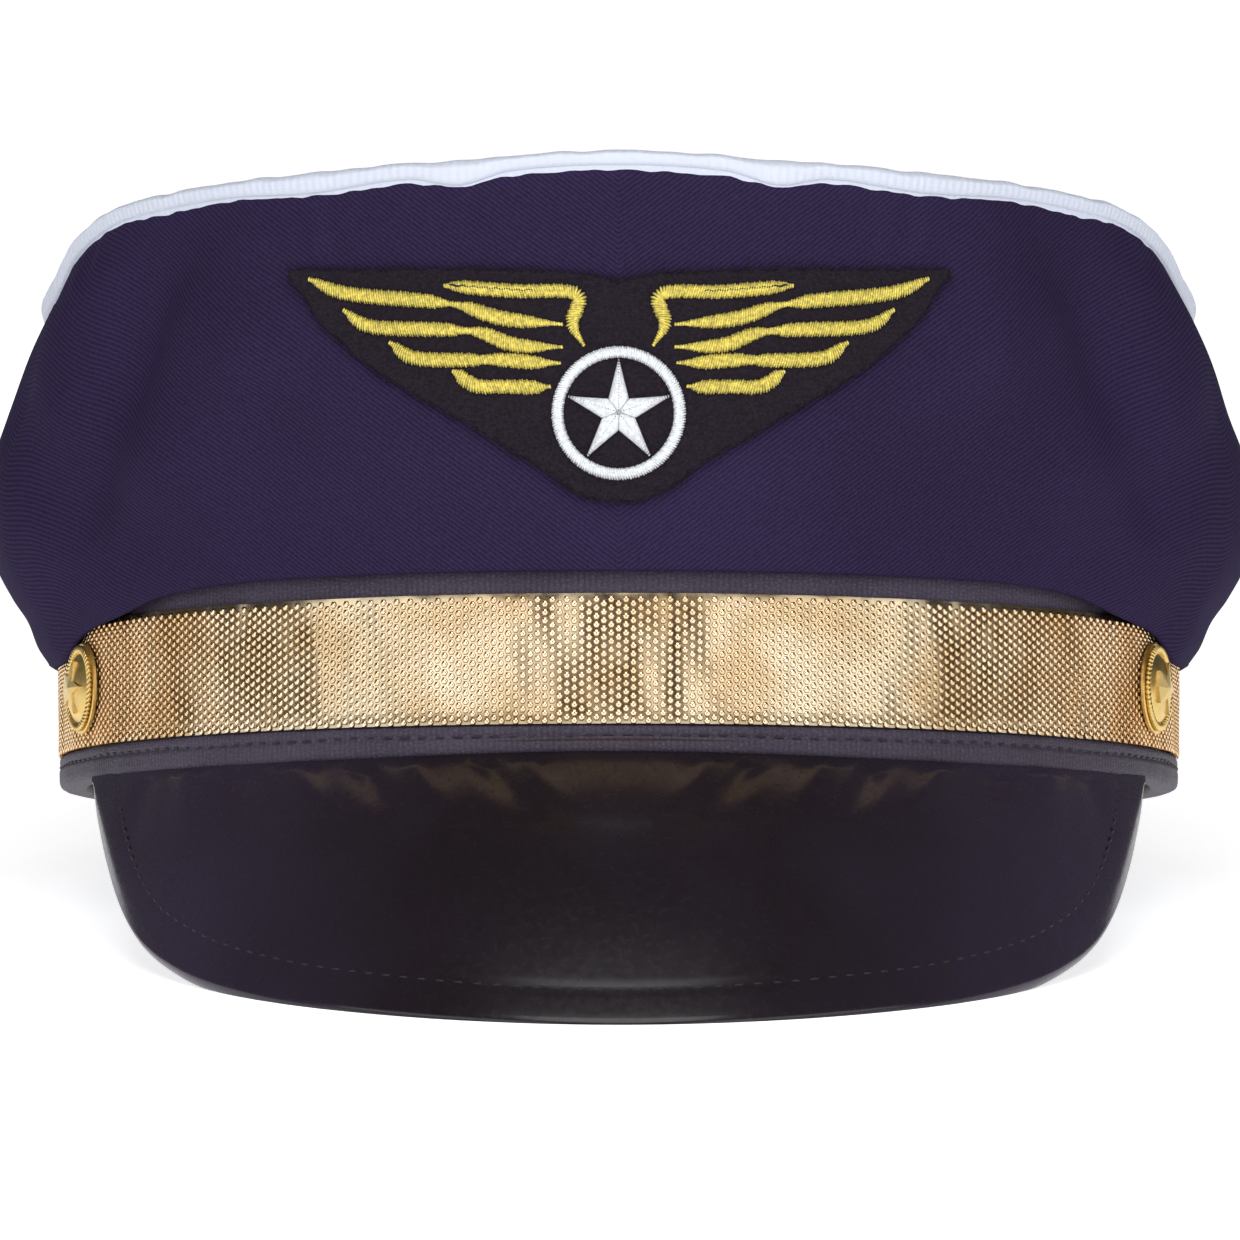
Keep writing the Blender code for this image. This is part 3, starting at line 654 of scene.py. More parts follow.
def skin_outset(angles, shares):
    """How far the crown's outer skin stands out from the band at a share of its height."""
    size = sizes()
    swell = crown_limits(angles)[2]
    base = size.fold_outset + shares * (size.seam_outset - size.fold_outset)
    bulge = swell * on_curve(CROWN_PROFILE_SHARES, 1, shares, level_ends=False)
    degrees = degrees_from_front(angles)
    middle = np.sin(math.pi * np.clip(shares, 0.0, 1.0))
    soft = ripple(angles, shares, "crown") * middle
    puckers = ripple(angles, shares, "crown_seam") * eased((shares - 0.84) / 0.12)
    return base + bulge + fold_relief(degrees, shares) + tuck_relief(degrees, shares) + soft + puckers


def crown_sections(angles):
    """Corners of the crown's cloth at each angle, and how far along the skin each one lies."""
    size = sizes()
    angles = angles[:, None]
    fold_height, seam_height, _, _ = crown_limits(angles)
    tall = seam_height - fold_height
    seat = size.band_height + size.gap
    leg = strap_outset() + size.gap + size.badge_gap / 2
    shares = np.linspace(0.0, 1.0, CROWN_SKIN_ROWS)[None, :]
    lift = 0.4 * size.cloth * (1 - shares)
    skin = (skin_outset(angles, shares), fold_height + lift + tall * shares)
    turn = np.radians((0.0, 35.0, 70.0, 110.0, 145.0))[None, :]
    half = (size.fold_outset - leg) / 2
    fold = (leg + half - half * np.cos(turn), fold_height + 0.4 * size.cloth * (1 - np.sin(turn)))
    inner_shares = np.linspace(1.0, 0.185, CROWN_INNER_ROWS)[None, :]
    inner = (skin_outset(angles, inner_shares) - size.cloth, fold_height + tall * inner_shares)
    pocket_outset = skin_outset(angles, size.pocket_depth / tall) - size.cloth
    seat_inner = (np.full_like(tall, -size.band_wall), np.full_like(tall, seat))
    seat_outer = (np.full_like(tall, leg), np.full_like(tall, seat))
    pocket = (pocket_outset, fold_height + size.pocket_depth)
    shelf = (np.minimum(leg + size.cloth, pocket_outset), np.full_like(tall, seat + size.cloth))
    shelf_inner = (np.full_like(tall, -size.band_wall), np.full_like(tall, seat + size.cloth))
    runs = (seat_inner, seat_outer, fold, skin, inner, pocket, shelf, shelf_inner)
    outset = np.concatenate([np.broadcast_to(run[0], (len(angles), run[0].shape[1])) for run in runs], 1)
    height = np.concatenate([np.broadcast_to(run[1], (len(angles), run[1].shape[1])) for run in runs], 1)
    return outset, height


def settled_height(along):
    """Height of the white top's slack middle, which slopes from the front down to the back."""
    size = sizes()
    front = crown_limits(np.array([0.0]))[1][0]
    back = crown_limits(np.array([math.pi]))[1][0]
    half_length = size.band_half_length + size.seam_outset
    return (front + back) / 2 - (front - back) / 2 * along / half_length - size.top_sag


def top_surface(angles, rows):
    """Points of the white top at angles round it and at rows of its roll."""
    size = sizes()
    share, puff_share, slack = (on_curve(TOP_ROLL, column, rows, level_ends=False) for column in (1, 2, 3))
    _, seam_height, _, puff = crown_limits(angles)
    edge = around(angles, size.seam_outset, 0.0)
    place = (1 - share)[..., None] * edge
    base = seam_height + slack * (settled_height(place[..., 1]) - seam_height)
    near_edge = np.exp(-((share / 0.09) ** 2)) * eased((rows - 1.5) / 2)
    gathers = ripple(angles, share, "top_gathers") * near_edge
    hollows = ripple(angles, share, "top_hollows") * eased((share - 0.05) / 0.25) * (1 - share)
    place[..., 2] = base + size.gap + puff_share * puff + gathers + hollows
    return place


# Peak


def peak_roots(angles):
    """Where the peak's upper face starts, just under the edging."""
    return around(angles, binding_outset(), rim_height(angles) - sizes().gap)


def peak_rulings(angles):
    """From the peak's root to its outer edge at each angle."""
    size = sizes()
    shares = on_curve(PEAK_EDGE_SHARES, 1, np.abs(angles) / size.peak_half_angle)
    tips = around(angles, binding_outset(), -size.gap)
    tips = tips + shares[..., None] * np.array((0.0, -size.peak_reach, -size.peak_drop))
    return tips - peak_roots(angles)


def peak_normals(angles):
    """Directions out of the peak's upper face at each angle."""
    beside = peak_roots(angles + 0.02) - peak_roots(angles - 0.02)
    normals = np.cross(peak_rulings(angles), beside)
    normals /= np.linalg.norm(normals, axis=-1, keepdims=True)
    return normals * np.sign(normals[..., 2:3])


def peak_plain(angles, shares):
    """Points of the peak's upper face without its puckers and stitching."""
    size = sizes()
    rulings = peak_rulings(angles)
    reach = np.linalg.norm(rulings, axis=-1) / math.hypot(size.peak_reach, size.peak_drop)
    arch = size.peak_camber * reach * np.sin(math.pi * shares)
    return peak_roots(angles) + shares[..., None] * rulings + arch[..., None] * peak_normals(angles)


def peak_margin_at(points):
    """Distance of points of the peak from its outer edge."""
    angles = np.linspace(-sizes().peak_half_angle, sizes().peak_half_angle, 361)
    edge = peak_plain(angles, np.ones_like(angles))
    flat = points.reshape(-1, 3)
    nearest = np.full(len(flat), 1.0)
    for point in edge:
        nearest = np.minimum(nearest, np.linalg.norm(flat - point, axis=1))
    return nearest.reshape(points.shape[:-1])


def pucker_relief(angles, shares):
    """How far the soft puckers lift the peak's face."""
    degrees = np.abs(np.degrees(angles))
    relief = 0.0
    for top_degrees, end_degrees, reach, height, width in PEAK_PUCKERS:
        down = shares / reach
        off = (degrees - top_degrees - (end_degrees - top_degrees) * down) / (width * (0.7 + 0.6 * down))
        relief = relief + height * np.exp(-(off**2)) * eased(1.0 - down) * eased(shares / 0.04)
    return relief


def peak_relief(angles, shares, margin):
    """Height of the peak's folded margin, its sewn line and its puckers above the plain face."""
    size = sizes()
    off_line = (margin - size.peak_margin) / PEAK_GROOVE_WIDTH
    groove = -PEAK_GROOVE_DEPTH * np.exp(-(off_line**2))
    fold = PEAK_FOLD_HEIGHT * eased((size.peak_margin - margin) / PEAK_FOLD_WIDTH)
    return groove + fold + pucker_relief(angles, shares)


# Badge


def on_front(across, up, lift):
    """Points over the crown's front skin that show at (across, up), and the ways out of the cloth."""
    size = sizes()
    across, up, lift = np.broadcast_arrays(across, up, lift)
    height = size.badge_centre_height + up
    angles = np.arcsin(across / size.band_half_width)
    for _ in range(8):
        fold_height, seam_height, _, _ = crown_limits(angles)
        shares = (height - fold_height) / (seam_height - fold_height)
        points = around(angles, skin_outset(angles, shares) + lift, height)
        angles = angles + (across - points[..., 0]) / (size.band_half_width * np.cos(angles))
    return points, outward(angles)


def stroke_path(places, steps):
    """Points on a smooth curve through places, evenly spaced along it, and its length."""
    table = [(number, *place) for number, place in enumerate(places)]
    fine = np.linspace(0.0, len(places) - 1, 400)
    curve = np.stack([on_curve(table, column, fine, level_ends=False) for column in (1, 2)], -1)
    run = run_along(curve)
    wanted = np.linspace(0.0, run[-1], steps)
    return np.stack([np.interp(wanted, run, curve[:, axis]) for axis in (0, 1)], -1), run[-1]


# Meshes


def side_quads(loops, corners, closed=False):
    """Quads between neighbouring loops of corners, and from the last loop to the first if closed."""
    loop = np.arange(loops if closed else loops - 1)[:, None]
    corner = np.arange(corners)[None, :]
    beside = (loop + 1) % loops
    after = (corner + 1) % corners
    quads = (
        loop * corners + corner,
        beside * corners + corner,
        beside * corners + after,
        loop * corners + after,
    )
    return np.stack(quads, -1).reshape(-1, 4)


def tube_faces(loops, corners):
    """Quads and triangles of a closed tube: along its loops, and from side to side across its ends.

    Each end is a row of quads. Where the number of corners is odd, a triangle finishes the row.
    """
    near = np.arange((corners - 2) // 2)
    end = np.stack([near, near + 1, corners - 2 - near, corners - 1 - near], -1)
    tip = len(near) + np.arange(3).reshape(1, 3)[: corners % 2]
    far = (loops - 1) * corners
    quads = np.concatenate([side_quads(loops, corners), end, end[:, ::-1] + far])
    return quads, np.concatenate([tip, tip[:, ::-1] + far])


def signed_volume(points, quads, triangles):
    """Volume inside the faces, negative if they point inwards."""
    fans = [quads[:, (0, 1, 2)], quads[:, (0, 2, 3)], triangles]
    total = 0.0
    for fan in fans:
        first, second, third = (points[fan[:, corner]] for corner in range(3))
        total += np.einsum("ij,ij->", first, np.cross(second, third))
    return total


def add_piece(name, points, quads, surface, triangles=None, cloth=None, crease=50.0):
    """A smooth closed piece from points in the band's frame, its faces turned outwards."""
    points = placed(np.asarray(points, float).reshape(-1, 3))
    points[:, 2] = np.maximum(points[:, 2], 0.0)
    if triangles is None:
        triangles = np.empty((0, 3), int)
    if signed_volume(points, quads, triangles) < 0:
        quads = quads[:, ::-1]
        triangles = triangles[:, ::-1]
    data = bpy.data.meshes.new(name)
    data.from_pydata(points.tolist(), [], quads.tolist() + triangles.tolist())
    data.shade_smooth()
    data.set_sharp_from_angle(angle=math.radians(crease))
    if cloth is not None:
        attribute = data.attributes.new("cloth_place", "FLOAT_VECTOR", "POINT")
        attribute.data.foreach_set("vector", np.asarray(cloth, np.float32).reshape(-1))
    data.materials.append(surface)
    made = bpy.data.objects.new(name, data)
    bpy.context.scene.collection.objects.link(made)
    return made


def add_ring(name, outset, height, angles, surface):
    """A piece all round the cap from its sections, which knows its places round and along them."""
    points = around(angles[:, None], outset, height)
    run = run_along(np.stack([outset, height], -1))
    round_place = np.broadcast_to(from_front(angles)[:, None], outset.shape)
    cloth = np.stack([round_place, run, np.zeros_like(run)], -1)
    return add_piece(name, points, side_quads(*outset.shape, closed=True), surface, cloth=cloth)


def finish_piece(piece, slot, *nodes):
    """The piece rides on the cap and stands for its solids, which it hides. The slot is not used."""
    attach(piece, "root")
    if nodes:
        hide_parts(*nodes)
    return piece


def add_threads(name, lines, normals, radius, surface):
    """Threads as fine four-sided tubes along lines of points, with the way up at each point."""
    threads, steps = lines.shape[:2]
    ahead = np.gradient(lines, axis=1)
    ahead /= np.linalg.norm(ahead, axis=-1, keepdims=True)
    beside = np.cross(ahead, normals)
    beside /= np.linalg.norm(beside, axis=-1, keepdims=True)
    taper = np.ones(steps)
    taper[0] = taper[-1] = 0.55
    reach = radius * taper[None, :, None]
    across = reach * beside
    up = reach * normals
    loops = np.stack([lines + across, lines + up, lines - across, lines - up], 2)
    faces, _ = tube_faces(steps, 4)
    starts = np.arange(threads)[:, None, None] * steps * 4
    return add_piece(name, loops, (faces[None] + starts).reshape(-1, 4), surface, crease=180.0)


# Materials


def node(tree, kind, inputs=None, **settings):
    """A shader node with its settings, and with values or links on its inputs."""
    made = tree.nodes.new(kind)
    for name, value in settings.items():
        setattr(made, name, value)
    for socket, value in (inputs or {}).items():
        if isinstance(value, bpy.types.NodeSocket):
            tree.links.new(value, made.inputs[socket])
        else:
            made.inputs[socket].default_value = value
    return made


def maths(tree, operation, first, second=0.0):
    """The result of a sum on one or two values."""
    return node(tree, "ShaderNodeMath", {0: first, 1: second}, operation=operation).outputs[0]


def weighed(tree, first, first_weight, second, second_weight):
    """Two values added up with their weights."""
    first = maths(tree, "MULTIPLY", first, first_weight)
    return maths(tree, "ADD", first, maths(tree, "MULTIPLY", second, second_weight))


def mixed(tree, share, first, second):
    """A colour between two colours."""
    blend = node(tree, "ShaderNodeMix", {0: share}, data_type="RGBA")
    for socket, value in ((6, first), (7, second)):
        if isinstance(value, bpy.types.NodeSocket):
            tree.links.new(value, blend.inputs[socket])
        else:
            blend.inputs[socket].default_value = (*value, 1.0)
    return blend.outputs[2]


def ranged(tree, value, from_low, from_high, to_low, to_high):
    """A value carried from one range to another and held inside it."""
    inputs = {0: value, 1: from_low, 2: from_high, 3: to_low, 4: to_high}
    return node(tree, "ShaderNodeMapRange", inputs).outputs[0]


def wave(tree, place, pitch):
    """Even ribs a pitch apart along a place, from 0 in a furrow to 1 on a rib."""
    phase = maths(tree, "MULTIPLY", place, math.tau / pitch)
    return ranged(tree, maths(tree, "SINE", phase), -1.0, 1.0, 0.0, 1.0)


def object_noise(tree, scale, detail=3.0, stretch=(1.0, 1.0, 1.0)):
    """Even noise fixed to the piece, as a value round 0.5."""
    place = node(tree, "ShaderNodeTexCoord").outputs["Object"]
    mapped = node(tree, "ShaderNodeMapping", {"Vector": place, "Scale": stretch}).outputs[0]
    return node(tree, "ShaderNodeTexNoise", {"Vector": mapped, "Scale": scale, "Detail": detail}).outputs[0]


def patches(tree, scale, lowest, highest, edges=(0.3, 0.7), detail=3.0):
    """Soft patches fixed to the piece, from a lowest to a highest value."""
    return ranged(tree, object_noise(tree, scale, detail), *edges, lowest, highest)


def cloth_places(tree):
    """Distance round the cap from the front, and distance along the section."""
    place = node(tree, "ShaderNodeAttribute", attribute_name="cloth_place").outputs["Vector"]
    parts = node(tree, "ShaderNodeSeparateXYZ", {0: place})
    return parts.outputs[0], parts.outputs[1]


def raised(tree, height, distance, strength=1.0, normal=None):
    """A bump from a height between 0 and 1."""
    inputs = {"Height": height, "Distance": distance, "Strength": strength}
    if normal is not None:
        inputs["Normal"] = normal
    return node(tree, "ShaderNodeBump", inputs).outputs[0]


def new_surface(name, roughness, **settings):
    """A material, its tree and its shader with constant values on the shader's own sockets."""
    surface = bpy.data.materials.new(name)
    surface.use_nodes = True
    shader = surface.node_tree.nodes["Principled BSDF"]
    shader.inputs["Roughness"].default_value = roughness
    for socket, value in settings.items():
        shader.inputs[socket.replace("_", " ")].default_value = value
    return surface, surface.node_tree, shader


def feed(tree, shader, **sources):
    """Links values to the shader's sockets, each named with _ for a space."""
    for socket, value in sources.items():
        tree.links.new(value, shader.inputs[socket.replace("_", " ")])


def darker(shade, share):
    """A share of a colour."""
    return tuple(share * part for part in shade)


def navy_twill():
    """Twill whose ribs lean away from the middle of the front on both sides."""
    surface, tree, shader = new_surface("navy_twill", 0.75, Specular_IOR_Level=0.02)
    tint = colours()
    round_place, up_place = cloth_places(tree)
    wander = maths(tree, "MULTIPLY", object_noise(tree, 180.0), 0.00035)
    leaning = maths(tree, "ADD", weighed(tree, round_place, 0.62, up_place, -0.78), wander)
    rib = wave(tree, leaning, 0.00062)
    yarn = wave(tree, weighed(tree, round_place, 0.78, up_place, 0.62), 0.00045)
    weave = weighed(tree, rib, 0.75, yarn, 0.25)
    flecks = patches(tree, 2600.0, -0.25, 0.25, detail=2.0)
    clouds = patches(tree, 22.0, -0.12, 0.12)
    share = maths(tree, "ADD", maths(tree, "ADD", weave, flecks), clouds)
    share = ranged(tree, share, 0.0, 1.1, 0.0, 1.0)
    feed(tree, shader, Base_Color=mixed(tree, share, tint.navy_shade, tint.navy))
    feed(tree, shader, Normal=raised(tree, weave, 0.00008, 0.7))
    return surface


def white_cloth():
    """White cloth, gathered in fine ribs where it is sewn down, with painted shade on the gathered ribs."""
    surface, tree, shader = new_surface("white_cloth", 0.62, Specular_IOR_Level=0.3, Sheen_Weight=0.15)
    tint = colours()
    round_place, in_place = cloth_places(tree)
    wander = maths(tree, "MULTIPLY", object_noise(tree, 130.0), 0.0011)
    rib = wave(tree, maths(tree, "ADD", round_place, wander), 0.0013)
    near_seam = ranged(tree, in_place, 0.002, 0.012, 1.0, 0.06)
    gather = maths(tree, "MULTIPLY", rib, near_seam)
    threads = wave(tree, in_place, 0.0005)
    clouds = patches(tree, 60.0, 0.0, 0.10, (0.35, 0.7))
    # Random tone, and painted shade that darkens the gathered ribs near the seam
    shade = maths(tree, "ADD", clouds, maths(tree, "MULTIPLY", gather, 0.04))
    bump = raised(tree, gather, 0.00018, 0.5, raised(tree, threads, 0.00003, 0.4))
    feed(tree, shader, Base_Color=mixed(tree, shade, tint.white, darker(tint.white, 0.80)), Normal=bump)
    return surface


def dark_grain(name, shade):
    """Grained leathercloth with a fine upright rib."""
    surface, tree, shader = new_surface(name, 0.48, Specular_IOR_Level=0.22)
    round_place, _ = cloth_places(tree)
    place = node(tree, "ShaderNodeTexCoord").outputs["Object"]
    cells = node(tree, "ShaderNodeTexVoronoi", {"Vector": place, "Scale": 1500.0}, feature="DISTANCE_TO_EDGE")
    pebble = ranged(tree, cells.outputs["Distance"], 0.0, 0.30, 0.0, 1.0)
    height = weighed(tree, pebble, 0.65, wave(tree, round_place, 0.0009), 0.35)
    clouds = patches(tree, 45.0, 0.0, 0.35)
    share = maths(tree, "ADD", maths(tree, "MULTIPLY", height, 0.65), clouds)
    feed(tree, shader, Base_Color=mixed(tree, share, darker(shade, 0.35), shade))
    feed(tree, shader, Roughness=ranged(tree, height, 0.0, 1.0, 0.62, 0.42))
    feed(tree, shader, Normal=raised(tree, height, 0.00010, 0.8))
    return surface


def gold_ribbon(name, brightness):
    """Metallic foil, a little uneven in colour and gloss, and browner where it is seen edge on."""
    roughness = 0.20
    surface, tree, shader = new_surface(name, roughness, Metallic=1.0, Specular_Tint=(1.0, 0.50, 0.18, 1.0))
    light = darker(colours().ribbon, brightness)
    deep = (light[0] * 0.82, light[1] * 0.72, light[2] * 0.60)
    clouds = patches(tree, 70.0, 0.0, 1.0, (0.35, 0.65))
    feed(tree, shader, Base_Color=mixed(tree, clouds, deep, light))
    feed(tree, shader, Roughness=patches(tree, 400.0, roughness - 0.05, roughness + 0.10))
    return surface


def button_gold():
    """Pressed brass, a little uneven in colour and gloss."""
    surface, tree, shader = new_surface("button_gold", 0.2, Metallic=1.0)
    tint = colours()
    clouds = patches(tree, 500.0, 0.0, 1.0, (0.35, 0.7))
    feed(tree, shader, Base_Color=mixed(tree, clouds, darker(tint.button, 0.78), tint.button))
    feed(tree, shader, Roughness=ranged(tree, clouds, 0.0, 1.0, 0.30, 0.42))
    feed(tree, shader, Normal=raised(tree, object_noise(tree, 2500.0), 0.00002, 0.4))
    return surface


def black_gloss():
    """Shiny vinyl with a faint grain, with painted reflection that makes it lighter and bluer towards its
    sides.
    """
    surface, tree, shader = new_surface(
        "black_gloss", 0.26, Specular_IOR_Level=0.28, Coat_Weight=0.12, Coat_Roughness=0.10
    )
    tint = colours()
    _, side_place = cloth_places(tree)
    # Share of the painted reflection, growing towards the sides, with random patches
    share = ranged(tree, side_place, 0.25, 0.80, 0.0, 1.0)
    share = maths(tree, "ADD", share, patches(tree, 35.0, -0.15, 0.15))
    grain = object_noise(tree, 900.0, 4.0)
    soft = raised(tree, object_noise(tree, 60.0, 2.0), 0.0004, 0.25)
    feed(tree, shader, Base_Color=mixed(tree, share, tint.gloss, tint.gloss_side_reflection))
    feed(tree, shader, Roughness=ranged(tree, grain, 0.3, 0.7, 0.20, 0.30))
    feed(tree, shader, Normal=raised(tree, grain, 0.00003, 0.35, soft))
    return surface


def black_felt():
    """Felt with a short uneven nap."""
    surface, tree, shader = new_surface("black_felt", 0.95, Specular_IOR_Level=0.04, Sheen_Weight=0.04)
    tint = colours()
    hairs = object_noise(tree, 1500.0, 2.0, (1.0, 1.0, 4.0))
    height = weighed(tree, object_noise(tree, 2200.0, 4.0), 0.6, hairs, 0.4)
    share = ranged(tree, height, 0.4, 0.7, 0.0, 1.0)
    feed(tree, shader, Base_Color=mixed(tree, share, tint.felt, darker(tint.felt, 2.2)))
    feed(tree, shader, Normal=raised(tree, height, 0.00018, 0.8))
    return surface


def thread(name, shade, metallic, roughness, shadow=0.62):
    """Embroidery thread, its strands lighter and darker: shadow is the dark ones' share of the colour."""
    surface, tree, shader = new_surface(name, roughness, Metallic=metallic, Sheen_Weight=0.1)
    strands = patches(tree, 1800.0, 0.0, 1.0, detail=2.0)
    feed(tree, shader, Base_Color=mixed(tree, strands, darker(shade, shadow), shade))
    feed(tree, shader, Normal=raised(tree, object_noise(tree, 5200.0, 2.0), 0.00003, 0.5))
    return surface


# Pieces


class CAP_OT_crown(bpy.types.Operator):
    """Makes the crown's twill side, swollen, dented and gathered under its top seam"""

    bl_idname = "cap.crown"
    bl_label = "Crown"

    def execute(self, context):
        angles = evenly_round(CROWN_STATIONS)
        outset, height = crown_sections(angles)
        made = add_ring("crown_cloth", outset, height, angles, navy_twill())
        finish_piece(made, "navy_twill", "crown_side")
        return {"FINISHED"}


class CAP_OT_top(bpy.types.Operator):
    """Makes the white top, rolled over the seam and slack in the middle"""

    bl_idname = "cap.top"
    bl_label = "White top"

    def execute(self, context):
        size = sizes()
        angles = evenly_round(TOP_STATIONS)[:, None]
        rows = np.concatenate([np.linspace(0.0, 6.0, 31), np.linspace(6.2, 9.0, 22)])[None, :]
        upper = top_surface(angles, rows)
        lower = upper[:, ::-3].copy()
        lower[..., 2] -= size.cloth
        lower[..., :2] *= 1 - 0.6 * size.cloth / size.band_half_width
        points = np.concatenate([upper, lower], axis=1)
        poles = [[0.0, 0.0, upper[:, -1, 2].mean()], [0.0, 0.0, lower[:, 0, 2].mean()]]
        run = run_along(upper)
        inwards = np.concatenate([run, run[:, ::-3]], axis=1)
        round_place = np.broadcast_to(from_front(angles), inwards.shape)
        cloth = np.stack([round_place, inwards, np.zeros_like(inwards)], -1).reshape(-1, 3)
        cloth = np.concatenate([cloth, [[0.0, POLE_RUN, 0.0]] * 2])
        quads, fans = self.faces(*points.shape[:2], upper.shape[1] - 1)
        points = np.concatenate([points.reshape(-1, 3), poles])
        made = add_piece("top_cloth", points, quads, white_cloth(), fans, cloth)
        finish_piece(made, "white_cloth", "crown_top")
        return {"FINISHED"}

    def faces(self, stations, corners, last_row):
        """Quads round the top, and the fans that close its upper and its lower face in the middle."""
        quads = side_quads(stations, corners, closed=True).reshape(stations, corners, 4)
        quads = np.delete(quads, last_row, axis=1).reshape(-1, 4)
        here = np.arange(stations) * corners + last_row
        beside = np.roll(here, -1)
        pole = np.full(stations, stations * corners)
        upper_fan = np.stack([here, beside, pole], -1)
        lower_fan = np.stack([beside + 1, here + 1, pole + 1], -1)
        return quads, np.concatenate([upper_fan, lower_fan])


class CAP_OT_band(bpy.types.Operator):
    """Makes the dark band and the edging folded round its rim"""

    bl_idname = "cap.band"
    bl_label = "Band and edging"

    def execute(self, context):
        tint = colours()
        outer = dark_grain("dark_grain", tint.grain)
        # The edging takes a darker copy of the band's grain, 0.74 of its colour: painted shade.
        folded = dark_grain("edging_grain", darker(tint.grain, 0.74))
        inner = dark_grain("band_inner_face", tint.lining)
        for made, node_name in ((self.band(outer), "band"), (self.edging(folded), "rim_binding")):
            paint_inside(made, inner)
            finish_piece(made, "dark_grain", node_name)
        return {"FINISHED"}

    def band(self, surface):
        """The band, rounded over at its upper edge."""
        size = sizes()
        angles = evenly_round(BAND_STATIONS)
        foot = (rim_height(angles) + size.binding_thickness + size.gap)[:, None]
        top = size.band_height - BAND_CREST
        heights = np.linspace(0.0, 1.0, BAND_ROWS)[None, :] * (top - foot) + foot
        turn = np.linspace(0.0, math.pi, 7)[None, 1:-1]
        crest = top + BAND_CREST * np.sin(turn) + 0.0 * foot
        over = -size.band_wall / 2 + size.band_wall / 2 * np.cos(turn) + 0.0 * foot
        outset = np.concatenate([0.0 * heights, over, 0.0 * heights - size.band_wall], axis=1)
        height = np.concatenate([heights, crest, heights[:, ::-1]], axis=1)
        return add_ring("band_cloth", outset, height, angles, surface)

    def edging(self, surface):
        """The edging, a little wavy along its length."""
        angles = evenly_round(BAND_STATIONS)
        section = edging_section()
        outset = section[None, :, 0] + ripple(angles, 0.0, "edging")[:, None]
        lower_half = section[None, :, 1] < sizes().binding_height / 2
        height = section[None, :, 1] + rim_height(angles)[:, None] * lower_half
        return add_ring("edging_fold", outset, height, angles, surface)


def edging_section():
    """Corners of the edging from the top of its outer leg, round its fold, to its inner leg."""
    size = sizes()
    thick = size.binding_thickness
    top = size.binding_height
    out = binding_outset()
    inside = -size.band_wall - size.gap - thick
    corners = [(out - 0.25 * thick, top)]
    for share in np.linspace(0.93, 0.22, 22):
        off_seam = (share - EDGING_STITCH_SHARE) * top / EDGING_GROOVE_WIDTH
        groove = EDGING_GROOVE_DEPTH * math.exp(-(off_seam**2))
        belly = EDGING_BELLY * math.sin(math.pi * share)
        corners.append((out + belly - groove, share * top))
    bends = (
        (out, 1, EDGING_OUTER_BEND, (20, 40, 60, 90)),
        (inside, -1, EDGING_INNER_BEND, (90, 60, 30, 0)),
    )
    for leg, side, radius, turns in bends:
        for turn in np.radians(turns):
            corners.append((leg - side * radius * (1 - math.cos(turn)), radius * (1 - math.sin(turn))))
    corners += [(inside, top), (inside + thick, top), (inside + thick, thick)]
    corners += [(size.gap, thick), (size.gap, top)]
    return np.array(corners)


def paint_inside(piece, surface):
    """Faces of a ring that look in towards the head take a second material."""
    piece.data.materials.append(surface)
    centre = rest_matrix().translation
    for face in piece.data.polygons:
        inwards = Vector((centre.x - face.center.x, centre.y - face.center.y, 0.0)).normalized()
        if face.normal.dot(inwards) > 0.6:
            face.material_index = 1


def stitch_arch(shoulder):
    """Heights along one stitch: in the cloth, at a shoulder, at the crest, and back down again."""
    half = (-STITCH_BITE, shoulder, STITCH_CREST)
    return np.array(half + half[::-1])


class CAP_OT_stitches(bpy.types.Operator):
    """Sews the edging and the peak with dark thread"""

    bl_idname = "cap.stitches"
    bl_label = "Stitches"

    def execute(self, context):
        surface = thread("dark_thread", colours().stitch, 0.0, 0.6)
        finish_piece(self.edging_stitches(surface), "dark_grain")
        finish_piece(self.peak_stitches(surface), "black_gloss")
        return {"FINISHED"}

    def edging_stitches(self, surface):
        """Stitches round the edging, a little uneven in height."""
        table_angles, run = girth_at(binding_outset())
        count = round(run[-1] / EDGING_STITCH_PITCH)
        starts = (np.arange(count) + 0.14) * run[-1] / count
        steps = starts[:, None] + np.linspace(0.0, STITCH_LENGTH, STITCH_STEPS)[None, :]
        angles = np.interp(steps, run, table_angles)
        height = EDGING_STITCH_SHARE * sizes().binding_height + ripple(angles, 0.0, "edging_stitches")
        outset = binding_outset() - EDGING_STITCH_SINK + stitch_arch(EDGING_STITCH_SHOULDER)
        lines = around(angles, outset, height)
        return add_threads("edging_stitches", lines, outward(angles), STITCH_RADIUS, surface)

    def peak_stitches(self, surface):
        """Stitches along the peak's margin."""
        size = sizes()
        angles = np.linspace(-size.peak_half_angle, size.peak_half_angle, 241)[10:-10]
        shares = np.linspace(0.03, 0.99, 120)
        margin = peak_margin_at(peak_plain(angles[:, None], shares[None, :]))
        inside = margin[:, 0] > size.peak_margin
        path_angles = angles[inside]
        path_shares = np.array([np.interp(-size.peak_margin, -row, shares) for row in margin[inside]])
        run = run_along(peak_plain(path_angles, path_shares))
        count = int(run[-1] / PEAK_STITCH_PITCH)
        starts = np.arange(count) * run[-1] / count + 0.0004
        steps = starts[:, None] + np.linspace(0.0, STITCH_LENGTH, STITCH_STEPS)[None, :]
        on_angles = np.interp(steps, run, path_angles)
        on_shares = np.interp(steps, run, path_shares)
        normals = peak_normals(on_angles)
        lift = stitch_arch(0.0) - PEAK_STITCH_SINK
        lines = peak_plain(on_angles, on_shares) + lift[:, None] * normals
        return add_threads("peak_stitches", lines, normals, STITCH_RADIUS, surface)


